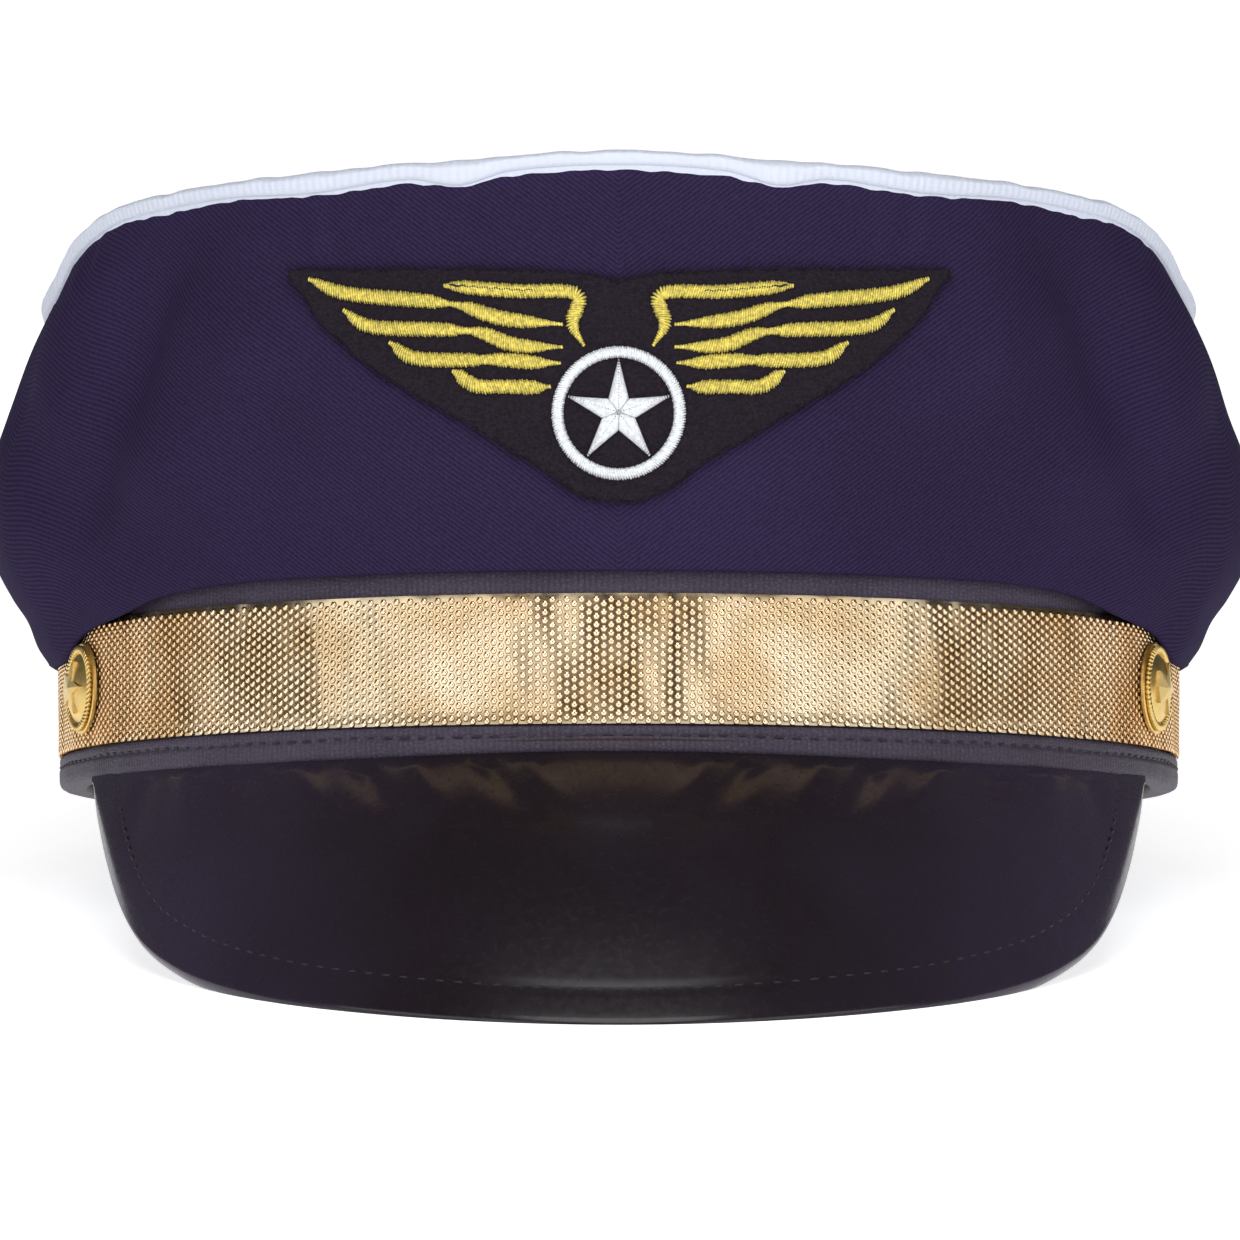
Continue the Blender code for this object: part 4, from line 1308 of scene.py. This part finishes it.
class CAP_OT_strap(bpy.types.Operator):
    """Makes the gold strap with its embossed net of round beads"""

    bl_idname = "cap.strap"
    bl_label = "Gold strap"

    def execute(self, context):
        angles = evenly_round(STRAP_STATIONS)
        shares = np.linspace(0.0, 1.0, STRAP_ROWS)[None, :]
        heights = strap_foot() + shares * (strap_top() - strap_foot()) + 0.0 * angles[:, None]
        face = strap_face(angles[:, None], heights) - BEAD_GROUND_DEPTH
        face[:, (0, -1)] -= STRAP_EDGE_DROP
        outset = np.concatenate([face, np.full((STRAP_STATIONS, 2), sizes().gap)], axis=1)
        height = np.concatenate([heights, heights[:, (-1, 0)]], axis=1)
        # The ground between the beads takes the foil at 0.60 of its brightness: painted shade between the
        # beads.
        ribbon = add_ring("strap_ribbon", outset, height, angles, gold_ribbon("gold_ground", 0.60))
        finish_piece(ribbon, "gold_ribbon", "gold_strap")
        finish_piece(self.beads(gold_ribbon("gold_ribbon", 1.0)), "gold_ribbon", "gold_strap")
        return {"FINISHED"}

    def beads(self, surface):
        """A low six-sided dome at each place of the net."""
        size = sizes()
        angles, heights = self.bead_places()
        centres = around(angles, strap_face(angles, heights), heights)
        out = outward(angles)
        upwards = np.array((0.0, 0.0, 1.0))
        beside = np.cross(upwards, out)
        corners = []
        for radius_share, lift in BEAD_RINGS:
            for turn in np.radians(np.arange(6) * 60.0):
                across = radius_share * BEAD_HALF_WIDTH * math.cos(turn)
                up = radius_share * BEAD_HALF_HEIGHT * math.sin(turn)
                corners.append(centres + across * beside + up * upwards + lift * size.bead_height * out)
        corners.append(centres + size.bead_height * out)
        low = np.arange(6)
        after = (low + 1) % 6
        sides = np.stack([low, after, after + 6, low + 6], -1)
        quads = np.concatenate([sides, ((0, 3, 2, 1), (0, 5, 4, 3))])
        caps = np.stack([low + 6, after + 6, np.full(6, 12)], -1)
        starts = (np.arange(len(centres)) * len(corners))[:, None, None]
        quads = (quads[None] + starts).reshape(-1, 4)
        caps = (caps[None] + starts).reshape(-1, 3)
        return add_piece("strap_beads", np.stack(corners, axis=1), quads, surface, caps, crease=180.0)

    def bead_places(self):
        """Angles and heights of the beads, each column shifted half a bead from the last."""
        size = sizes()
        table_angles, run = girth_at(strap_outset())
        columns = 2 * round(run[-1] / size.bead_column_pitch / 2)
        column = np.arange(columns)
        angles = np.interp(column * run[-1] / columns, run, table_angles)
        room = strap_top() - strap_foot()
        rows = int(room / size.bead_pitch)
        spare = room - (rows - 0.5) * size.bead_pitch
        row = np.arange(rows)[None, :] + 0.5 * (column % 2)[:, None]
        heights = strap_foot() + spare / 2 + row * size.bead_pitch - 0.25 * size.bead_pitch
        heights = np.clip(heights, strap_foot() + BEAD_MARGIN, strap_top() - BEAD_MARGIN)
        return np.broadcast_to(angles[:, None], heights.shape).reshape(-1), heights.reshape(-1)


def strap_face(angles, heights):
    """How far the strap's face stands out: a little uneven, with a step where its ends overlap."""
    places = (heights - strap_foot()) / (strap_top() - strap_foot())
    signed = np.degrees(np.arctan2(np.sin(angles), np.cos(angles)))
    past_seam = signed - STRAP_SEAM_DEGREES
    step = STRAP_SEAM_STEP * eased(past_seam / 0.5 + 0.5) * eased(1.0 - past_seam / 14.0)
    dents = 0.0
    for degrees, share, depth, width in STRAP_DENTS:
        off = np.hypot((signed - degrees) / width, (places - share) / 0.30)
        dents = dents + depth * np.exp(-(off**2))
    return strap_outset() + ripple(angles, places, "strap") + step - dents


class CAP_OT_peak(bpy.types.Operator):
    """Makes the peak, arched, puckered under the edging and sewn along its margin"""

    bl_idname = "cap.peak"
    bl_label = "Peak"

    def execute(self, context):
        size = sizes()
        angles = np.linspace(-size.peak_half_angle, size.peak_half_angle, PEAK_COLUMNS)[:, None]
        behind_edging = [-0.030, -0.015]
        lip = 1 - np.geomspace(0.045, 0.0006, 12)
        shares = np.concatenate([behind_edging, np.linspace(0.0, 0.94, PEAK_ROWS), lip, [1.0]])[None, :]
        angles, shares = np.broadcast_arrays(angles, shares)
        way_down = np.array((0.0, -size.peak_reach, -size.peak_drop))
        plain = peak_plain(angles, np.maximum(shares, 0.0)) + np.minimum(shares, 0.0)[..., None] * way_down
        normals = peak_normals(angles)
        reach = np.linalg.norm(peak_rulings(angles), axis=-1)
        from_lip = np.clip((1 - shares) * reach / PEAK_LIP_RADIUS, 0.0, 1.0)
        thick = size.peak_thickness * np.sqrt(1 - (1 - from_lip) ** 2)
        drop = (size.peak_thickness - thick) / 2
        relief = peak_relief(angles, shares, peak_margin_at(plain)) * eased(from_lip)
        upper = plain + (relief - drop)[..., None] * normals
        lower = plain - (size.peak_thickness - drop)[..., None] * normals
        points = np.concatenate([upper, lower[:, -2::-1]], axis=1)
        side_place = np.abs(points[..., 0]) / size.band_half_width
        cloth = np.stack([0.0 * side_place, side_place, 0.0 * side_place], -1)
        quads, tips = tube_faces(*points.shape[:2])
        made = add_piece("peak_shell", points, quads, black_gloss(), tips, cloth)
        finish_piece(made, "black_gloss", "peak")
        return {"FINISHED"}


class CAP_OT_badge_cloth(bpy.types.Operator):
    """Makes the dark cloth behind the badge, bent to the crown's front"""

    bl_idname = "cap.badge_cloth"
    bl_label = "Badge cloth"

    def execute(self, context):
        size = sizes()
        end = PATCH_OUTLINE_SHARES[-1][0]
        across = np.linspace(-end, end, PATCH_COLUMNS)
        upper, lower = (
            on_curve(PATCH_OUTLINE_SHARES, column, np.abs(across), level_ends=False) for column in (1, 2)
        )
        ragged = sum(height * np.sin(across * turns + shift) for height, turns, shift in PATCH_WAVES)
        share = np.linspace(0.0, 1.0, PATCH_ROWS)[None, :]
        up = (lower + ragged)[:, None] + share * (upper - lower)[:, None]
        side = np.broadcast_to(across[:, None], up.shape)
        edge = np.minimum(np.minimum(share, 1 - share) * 18.0, (end - np.abs(side)) * 30.0)
        rounding = size.patch_thickness * PATCH_ROUNDING_SHARE * (1 - eased(edge))
        front, _ = on_front(side * size.wing_span, up * size.wing_rise, badge_face() - rounding)
        back, _ = on_front(side * size.wing_span, up * size.wing_rise, PATCH_BACK_GAP)
        points = np.concatenate([front, back[:, ::-1]], axis=1)
        surface = black_felt()
        quads, _ = tube_faces(*points.shape[:2])
        finish_piece(add_piece("badge_felt", points, quads, surface), "black_felt", "badge_patch")
        finish_piece(self.fibres(across, upper, lower, surface), "black_felt")
        return {"FINISHED"}

    def fibres(self, across, upper, lower, surface):
        """Short fibres that stick out all along the badge's cut edge."""
        size = sizes()
        chance = np.random.default_rng(11)
        side = np.concatenate([across, across[::-1]]) * size.wing_span
        up = np.concatenate([upper, lower[::-1]]) * size.wing_rise
        run = run_along(np.stack([side, up], -1))
        spots = np.sort(chance.uniform(0.0, run[-1], FIBRE_COUNT))
        starts = np.stack([np.interp(spots, run, side), np.interp(spots, run, up)], -1)
        spots = spots + FIBRE_LOOK_AHEAD
        ahead = np.stack([np.interp(spots, run, side), np.interp(spots, run, up)], -1) - starts
        turn = np.arctan2(ahead[:, 1], ahead[:, 0]) + math.pi / 2
        turn = turn + chance.normal(0.0, FIBRE_LEAN, FIBRE_COUNT)
        reach = chance.uniform(*FIBRE_REACHES, FIBRE_COUNT)
        way = np.stack([np.cos(turn), np.sin(turn)], -1) * reach[:, None]
        beside = np.stack([-way[:, 1], way[:, 0]], -1)
        steps = np.linspace(-0.5, 1.0, 4)[None, :, None]
        bend = 0.3 * steps**2 * beside[:, None] * chance.normal(0.0, 1.0, (FIBRE_COUNT, 1, 1))
        places = starts[:, None] + steps * way[:, None] + bend
        height_shares = chance.uniform(*FIBRE_HEIGHT_SHARES, (FIBRE_COUNT, 1))
        lift = size.badge_gap + height_shares * size.patch_thickness
        lines, normals = on_front(places[..., 0], places[..., 1], lift)
        return add_threads("badge_fibres", lines, normals, FIBRE_RADIUS, surface)


def badge_face():
    """How far the face of the badge's cloth stands off the crown's skin."""
    return sizes().badge_gap + sizes().patch_thickness


def thread_dome(cross):
    """Share of a thread's height across its stroke, from -1 over 0 to 1."""
    return np.sqrt(np.clip(1 - cross**2, 0.0, 1.0))


def uneven_widths(count, waves):
    """Widths of threads in a row, each a little off 1."""
    widths = 1.0
    for height, turn in waves:
        widths = widths + height * np.sin(np.arange(count) * turn)
    return widths


def wing_places(shares):
    """Places on the badge from shares of the wing's span and rise."""
    return [(across * sizes().wing_span, up * sizes().wing_rise) for across, up in shares]


class CAP_OT_wings(bpy.types.Operator):
    """Sews the wings in gold satin stitch, stroke by stroke"""

    bl_idname = "cap.wings"
    bl_label = "Gold wings"

    def execute(self, context):
        surface = thread("gold_thread", colours().gold_thread, 0.12, 0.30, 0.46)
        dark = thread("hook_dark_thread", colours().stitch, 0.0, 0.8)
        for side, side_name in ((-1, "left"), (1, "right")):
            for name, *shares, waist in WING_STROKE_SHARES:
                made = self.stroke(f"{name}_threads_{side_name}", side, shares, waist, surface)
                finish_piece(made, "gold_thread", f"{name}_{side_name}")
            finish_piece(self.hook_line(f"hook_line_{side_name}", side, dark), "black_felt")
        return {"FINISHED"}

    def hook_line(self, name, side, surface):
        """A dark thread that parts the two rows of the hook's level arm."""
        _, *shares, _ = WING_STROKE_SHARES[0]
        path = stroke_path(wing_places(shares), 120)[0][HOOK_LINE_STEPS]
        wander = HOOK_LINE_WANDER * np.sin(np.arange(len(path)) * 0.9)
        lift = badge_face() + HOOK_LINE_HEIGHT_SHARE * sizes().thread_thickness
        line, normals = on_front(side * path[:, 0], path[:, 1] + HOOK_LINE_RISE + wander, lift)
        return add_threads(name, line[None], normals[None], HOOK_LINE_RADIUS, surface)

    def stroke(self, name, side, shares, waist, surface):
        """Threads laid side by side across one stroke, over its padding."""
        size = sizes()
        places = wing_places(shares)
        _, run = stroke_path(places, 2)
        count = int(run / size.thread_pitch)
        path, _ = stroke_path(places, count)
        ahead = np.gradient(path, axis=0)
        ahead /= np.linalg.norm(ahead, axis=1, keepdims=True)
        beside = np.stack([-ahead[:, 1], ahead[:, 0]], -1)
        slanted = beside + THREAD_SLANT * ahead
        along = np.linspace(0.0, 1.0, count)
        width = on_curve(STROKE_OUTLINE_SHARES, 1, along)
        width = width * (1 - (1 - waist) * on_curve(STROKE_OUTLINE_SHARES, 2, along))
        half = 0.5 * size.stroke_width * width * uneven_widths(count, STROKE_UNEVENNESS)
        cross = np.linspace(-1.0, 1.0, THREAD_STEPS)[None, :]
        spots = path[:, None, :] + (half[:, None] * cross)[..., None] * slanted[:, None, :]
        height = thread_dome(cross) * width[:, None] * size.thread_thickness * STROKE_HEIGHT_SHARE
        lines, normals = on_front(side * spots[..., 0], spots[..., 1], badge_face() + height)
        return add_threads(name, lines, normals, size.thread_radius, surface)


class CAP_OT_ring_and_star(bpy.types.Operator):
    """Sews the white ring and the star inside it"""

    bl_idname = "cap.ring_and_star"
    bl_label = "White ring and star"

    def execute(self, context):
        surface = thread("white_thread", colours().white_thread, 0.0, 0.5, 0.74)
        finish_piece(self.ring(surface), "white_thread", "badge_ring")
        finish_piece(self.star(surface), "white_thread", "badge_star")
        return {"FINISHED"}

    def ring(self, surface):
        """Threads laid across the ring all round it."""
        size = sizes()
        count = int(math.tau * size.ring_radius / size.thread_pitch)
        cross = np.linspace(-1.0, 1.0, THREAD_STEPS)[None, :]
        widths = size.ring_width * uneven_widths(count, RING_UNEVENNESS)[:, None]
        radius = size.ring_radius + 0.5 * cross * widths
        slanted = evenly_round(count)[:, None] + RING_SLANT * cross
        lift = badge_face() + thread_dome(cross) * size.thread_thickness
        lines, normals = on_front(radius * np.cos(slanted), radius * np.sin(slanted), lift)
        return add_threads("badge_ring_threads", lines, normals, size.thread_radius, surface)

    def star(self, surface):
        """Threads from the ridge of each arm out to its two edges."""
        size = sizes()
        halves = []
        for turn in math.pi / 2 + evenly_round(5):
            tip = size.star_radius * np.array((math.cos(turn), math.sin(turn)))
            for notch_turn in (turn - math.pi / 5, turn + math.pi / 5):
                notch = size.star_waist * np.array((math.cos(notch_turn), math.sin(notch_turn)))
                halves.append(self.half_arm(tip, notch))
        spots = np.concatenate(halves)
        cross = np.linspace(0.0, 1.0, STITCH_STEPS)[None, :]
        lift = badge_face() + size.thread_thickness * (1.05 - 0.85 * cross**1.6)
        points, normals = on_front(spots[..., 0], spots[..., 1], lift)
        return add_threads("badge_star_threads", points, normals, size.thread_radius, surface)

    def half_arm(self, tip, notch):
        """Places of the threads on one side of an arm, from its ridge to its edge."""
        count = int(sizes().star_radius / sizes().thread_pitch * 0.9)
        along = np.linspace(0.0, 0.97, count)[:, None]
        ridge = tip * along
        edge = notch + (tip - notch) * along
        cross = np.linspace(0.0, 1.0, STITCH_STEPS)[None, :, None]
        return ridge[:, None, :] + cross * (edge - ridge)[:, None, :]


class CAP_OT_buttons(bpy.types.Operator):
    """Turns the two buttons, with a roped rim and a raised star"""

    bl_idname = "cap.buttons"
    bl_label = "Buttons"

    def execute(self, context):
        surface = button_gold()
        for side, side_name in ((-1, "left"), (1, "right")):
            made = joined([turned_button(), *rope_rim(), raised_star()], f"button_face_{side_name}")
            made.data.materials.clear()
            made.data.materials.append(surface)
            made.data.transform(rest_matrix() @ button_place(side * sizes().button_angle))
            finish_piece(made, "gold_metal", f"button_{side_name}")
        return {"FINISHED"}


def start_shaping():
    """Goes into edit mode with all of the new primitive selected."""
    bpy.ops.object.mode_set(mode="EDIT")
    bpy.ops.mesh.select_all(action="SELECT")


def end_shaping():
    """Turns the faces outwards and leaves edit mode."""
    bpy.ops.mesh.select_all(action="SELECT")
    bpy.ops.mesh.normals_make_consistent(inside=False)
    bpy.ops.object.mode_set(mode="OBJECT")


def turned_button():
    """The button's body: a disc drawn up step by step into a flange, a groove and a dome."""
    size = sizes()
    radius_share, depth_share = 0.94, 0.0
    bpy.ops.object.select_all(action="DESELECT")
    bpy.ops.mesh.primitive_circle_add(
        vertices=BUTTON_SIDES, radius=size.button_radius * radius_share, fill_type="NGON"
    )
    made = bpy.context.object
    start_shaping()
    for next_radius, next_depth in BUTTON_STEPS:
        rise = (next_depth - depth_share) * size.button_depth
        bpy.ops.mesh.extrude_region_move(TRANSFORM_OT_translate={"value": (0.0, 0.0, rise)})
        ratio = next_radius / radius_share
        bpy.ops.transform.resize(value=(ratio, ratio, 1.0))
        radius_share, depth_share = next_radius, next_depth
    bpy.ops.mesh.poke()
    end_shaping()
    bpy.ops.object.shade_smooth_by_angle(angle=math.radians(32))
    return made


def rope_rim():
    """Slanting beads round the button's rim, one modelled and the rest copied from it."""
    size = sizes()
    bpy.ops.object.select_all(action="DESELECT")
    bpy.ops.mesh.primitive_uv_sphere_add(segments=8, ring_count=6, radius=ROPE_BEAD_RADIUS)
    first = bpy.context.object
    start_shaping()
    bpy.ops.transform.resize(value=(ROPE_BEAD_STRETCH, 1.0, 1.0))
    lean = math.radians(ROPE_BEAD_DEGREES)
    bpy.ops.transform.rotate(value=lean, orient_axis="Z", center_override=(0.0, 0.0, 0.0))
    place = (ROPE_RADIUS_SHARE * size.button_radius, 0.0, ROPE_HEIGHT_SHARE * size.button_depth)
    bpy.ops.transform.translate(value=place)
    bpy.ops.object.mode_set(mode="OBJECT")
    bpy.ops.object.shade_smooth()
    beads = [first]
    for number in range(1, ROPE_BEADS):
        bead = first.copy()
        bead.data = first.data.copy()
        bead.data.transform(Matrix.Rotation(math.tau * number / ROPE_BEADS, 4, "Z"))
        bpy.context.scene.collection.objects.link(bead)
        beads.append(bead)
    return beads


def raised_star():
    """A star with a ridge down each arm, standing out of the dome."""
    size = sizes()
    bpy.ops.object.select_all(action="DESELECT")
    radius = BUTTON_STAR_RADIUS_SHARE * size.button_radius
    bpy.ops.mesh.primitive_circle_add(vertices=10, radius=radius, fill_type="NGON")
    made = bpy.context.object
    start_shaping()
    bpy.ops.transform.rotate(value=math.radians(-90), orient_axis="Z", center_override=(0.0, 0.0, 0.0))
    height = BUTTON_STAR_HEIGHT_SHARE * size.button_depth
    bpy.ops.mesh.extrude_region_move(TRANSFORM_OT_translate={"value": (0.0, 0.0, height)})
    bpy.ops.mesh.poke(offset=BUTTON_STAR_RIDGE_SHARE * size.button_depth)
    end_shaping()
    draw_in_notches(made)
    return made


def draw_in_notches(star):
    """Every second corner of a ten-sided star moves in to a notch, higher on the upper face."""
    for vertex in star.data.vertices:
        off_centre = math.hypot(vertex.co.x, vertex.co.y) > 1e-6
        corner = round((math.atan2(vertex.co.y, vertex.co.x) - math.pi / 2) / (math.pi / 5))
        if off_centre and corner % 2:
            vertex.co.x *= BUTTON_STAR_NOTCH_SHARE
            vertex.co.y *= BUTTON_STAR_NOTCH_SHARE
            if vertex.co.z > 1e-6:
                vertex.co.z += BUTTON_STAR_NOTCH_RISE * sizes().button_depth


def joined(parts, name):
    """Several objects as one, under a name."""
    bpy.ops.object.select_all(action="DESELECT")
    for part in parts:
        part.select_set(True)
    bpy.context.view_layer.objects.active = parts[0]
    bpy.ops.object.join()
    made = bpy.context.object
    made.name = name
    made.data.name = name
    return made


def button_place(angle):
    """From a button modelled face up at the origin to its place on the strap, star upright."""
    size = sizes()
    out = Vector(outward(np.array(angle)))
    across = Vector((0.0, 0.0, 1.0)).cross(out)
    centre = around(np.array(angle), strap_outset() + size.gap, strap_top() - size.button_below_strap_top)
    turn = Matrix(((across.x, 0.0, out.x), (across.y, 0.0, out.y), (across.z, 1.0, out.z)))
    return Matrix.Translation(Vector(centre)) @ turn.to_4x4()


# Studio


class CAP_OT_studio(bpy.types.Operator):
    """Sets the floor, the soft lights and the camera"""

    bl_idname = "cap.studio"
    bl_label = "Studio"

    def execute(self, context):
        scene = context.scene
        scene.view_settings.view_transform = "Standard"
        scene.view_settings.look = "None"
        self.floor()
        self.sky()
        for name, azimuth, elevation, distance, size, power_name in SOFT_BOXES:
            self.soft_box(name, azimuth, elevation, distance, size, getattr(scene.cap_studio, power_name))
        self.camera()
        return {"FINISHED"}

    def floor(self):
        """A pale floor that glows, painted light that brightens it to white away from the cap."""
        bpy.ops.object.select_all(action="DESELECT")
        bpy.ops.mesh.primitive_circle_add(vertices=96, radius=9.0, fill_type="NGON")
        floor = bpy.context.object
        floor.name = "floor"
        surface, tree, shader = new_surface(
            "floor",
            0.9,
            Specular_IOR_Level=0.1,
            Base_Color=(0.93, 0.93, 0.94, 1.0),
            Emission_Color=(1.0, 1.0, 1.0, 1.0),
        )
        place = node(tree, "ShaderNodeTexCoord").outputs["Object"]
        reach = node(tree, "ShaderNodeVectorMath", {0: place}, operation="LENGTH").outputs["Value"]
        # Painted light: the floor glows, from 0.70 near the cap to 1.0 away from it
        feed(tree, shader, Emission_Strength=ranged(tree, reach, 0.20, 1.20, 0.70, 1.0))
        floor.data.materials.append(surface)

    def sky(self):
        """White all round for the camera, and a weaker fill for the light that it gives."""
        world = bpy.data.worlds.new("studio")
        bpy.context.scene.world = world
        world.use_nodes = True
        tree = world.node_tree
        tree.nodes.clear()
        strengths = (bpy.context.scene.cap_studio.sky, 1.0)
        fill, white = (
            node(tree, "ShaderNodeBackground", {0: (1.0, 1.0, 1.0, 1.0), 1: strength}).outputs[0]
            for strength in strengths
        )
        seen = node(tree, "ShaderNodeLightPath").outputs["Is Camera Ray"]
        both = node(tree, "ShaderNodeMixShader", {0: seen, 1: fill, 2: white})
        node(tree, "ShaderNodeOutputWorld", {0: both.outputs[0]})

    def soft_box(self, name, azimuth, elevation, distance, size, energy):
        """A soft rectangular light that faces the cap."""
        light = bpy.data.lights.new(name, "AREA")
        light.shape = "RECTANGLE"
        light.size, light.size_y = size
        light.energy = energy
        lamp = bpy.data.objects.new(name, light)
        bpy.context.scene.collection.objects.link(lamp)
        turn, rise = math.radians(azimuth), math.radians(elevation)
        back = Vector((math.sin(turn) * math.cos(rise), -math.cos(turn) * math.cos(rise), math.sin(rise)))
        lamp.location = Vector((0.0, 0.0, 0.05)) + distance * back
        lamp.rotation_euler = back.to_track_quat("Z", "Y").to_euler()

    def camera(self):
        """The camera, level with the front of the resting cap and a little below its rim's plane."""
        studio = bpy.context.scene.cap_studio
        rest = rest_matrix()
        aim = rest @ Vector((studio.aim_across, 0.0, studio.aim_height))
        up = rest.to_3x3() @ Vector((0.0, 0.0, 1.0))
        rise = math.atan2(up.y, up.z) - studio.below_band
        camera = bpy.data.cameras.new("camera")
        camera.sensor_width = 36.0
        camera.lens = studio.lens
        camera.clip_start = 0.01
        seen_from = bpy.data.objects.new("camera", camera)
        bpy.context.scene.collection.objects.link(seen_from)
        seen_from.location = aim + studio.distance * Vector((0.0, -math.cos(rise), math.sin(rise)))
        seen_from.rotation_euler = (math.pi / 2 - rise, 0.0, 0.0)
        bpy.context.scene.camera = seen_from


class CAP_PT_panel(bpy.types.Panel):
    """Lists what makes the cap"""

    bl_label = "Peaked cap"
    bl_idname = "CAP_PT_panel"
    bl_space_type = "VIEW_3D"
    bl_region_type = "UI"
    bl_category = "Cap"

    def draw(self, context):
        for operator in OPERATORS:
            self.layout.operator(operator.bl_idname)
        for group in (context.scene.cap_sizes, context.scene.cap_colours, context.scene.cap_studio):
            box = self.layout.box()
            for name in group.__annotations__:
                box.prop(group, name)


GROUPS = (CapSizes, CapColours, StudioSettings)
OPERATORS = (
    CAP_OT_crown,
    CAP_OT_top,
    CAP_OT_band,
    CAP_OT_strap,
    CAP_OT_peak,
    CAP_OT_stitches,
    CAP_OT_badge_cloth,
    CAP_OT_wings,
    CAP_OT_ring_and_star,
    CAP_OT_buttons,
    CAP_OT_studio,
)


def register():
    for made in (*GROUPS, *OPERATORS, CAP_PT_panel):
        bpy.utils.register_class(made)
    bpy.types.Scene.cap_sizes = bpy.props.PointerProperty(type=CapSizes)
    bpy.types.Scene.cap_colours = bpy.props.PointerProperty(type=CapColours)
    bpy.types.Scene.cap_studio = bpy.props.PointerProperty(type=StudioSettings)


def unregister():
    del bpy.types.Scene.cap_studio
    del bpy.types.Scene.cap_colours
    del bpy.types.Scene.cap_sizes
    for made in reversed((*GROUPS, *OPERATORS, CAP_PT_panel)):
        bpy.utils.unregister_class(made)


def main():
    register()
    bpy.ops.cap.crown()
    bpy.ops.cap.top()
    bpy.ops.cap.band()
    bpy.ops.cap.strap()
    bpy.ops.cap.peak()
    bpy.ops.cap.stitches()
    bpy.ops.cap.badge_cloth()
    bpy.ops.cap.wings()
    bpy.ops.cap.ring_and_star()
    bpy.ops.cap.buttons()
    bpy.ops.cap.studio()


if __name__ == "__main__":
    main()
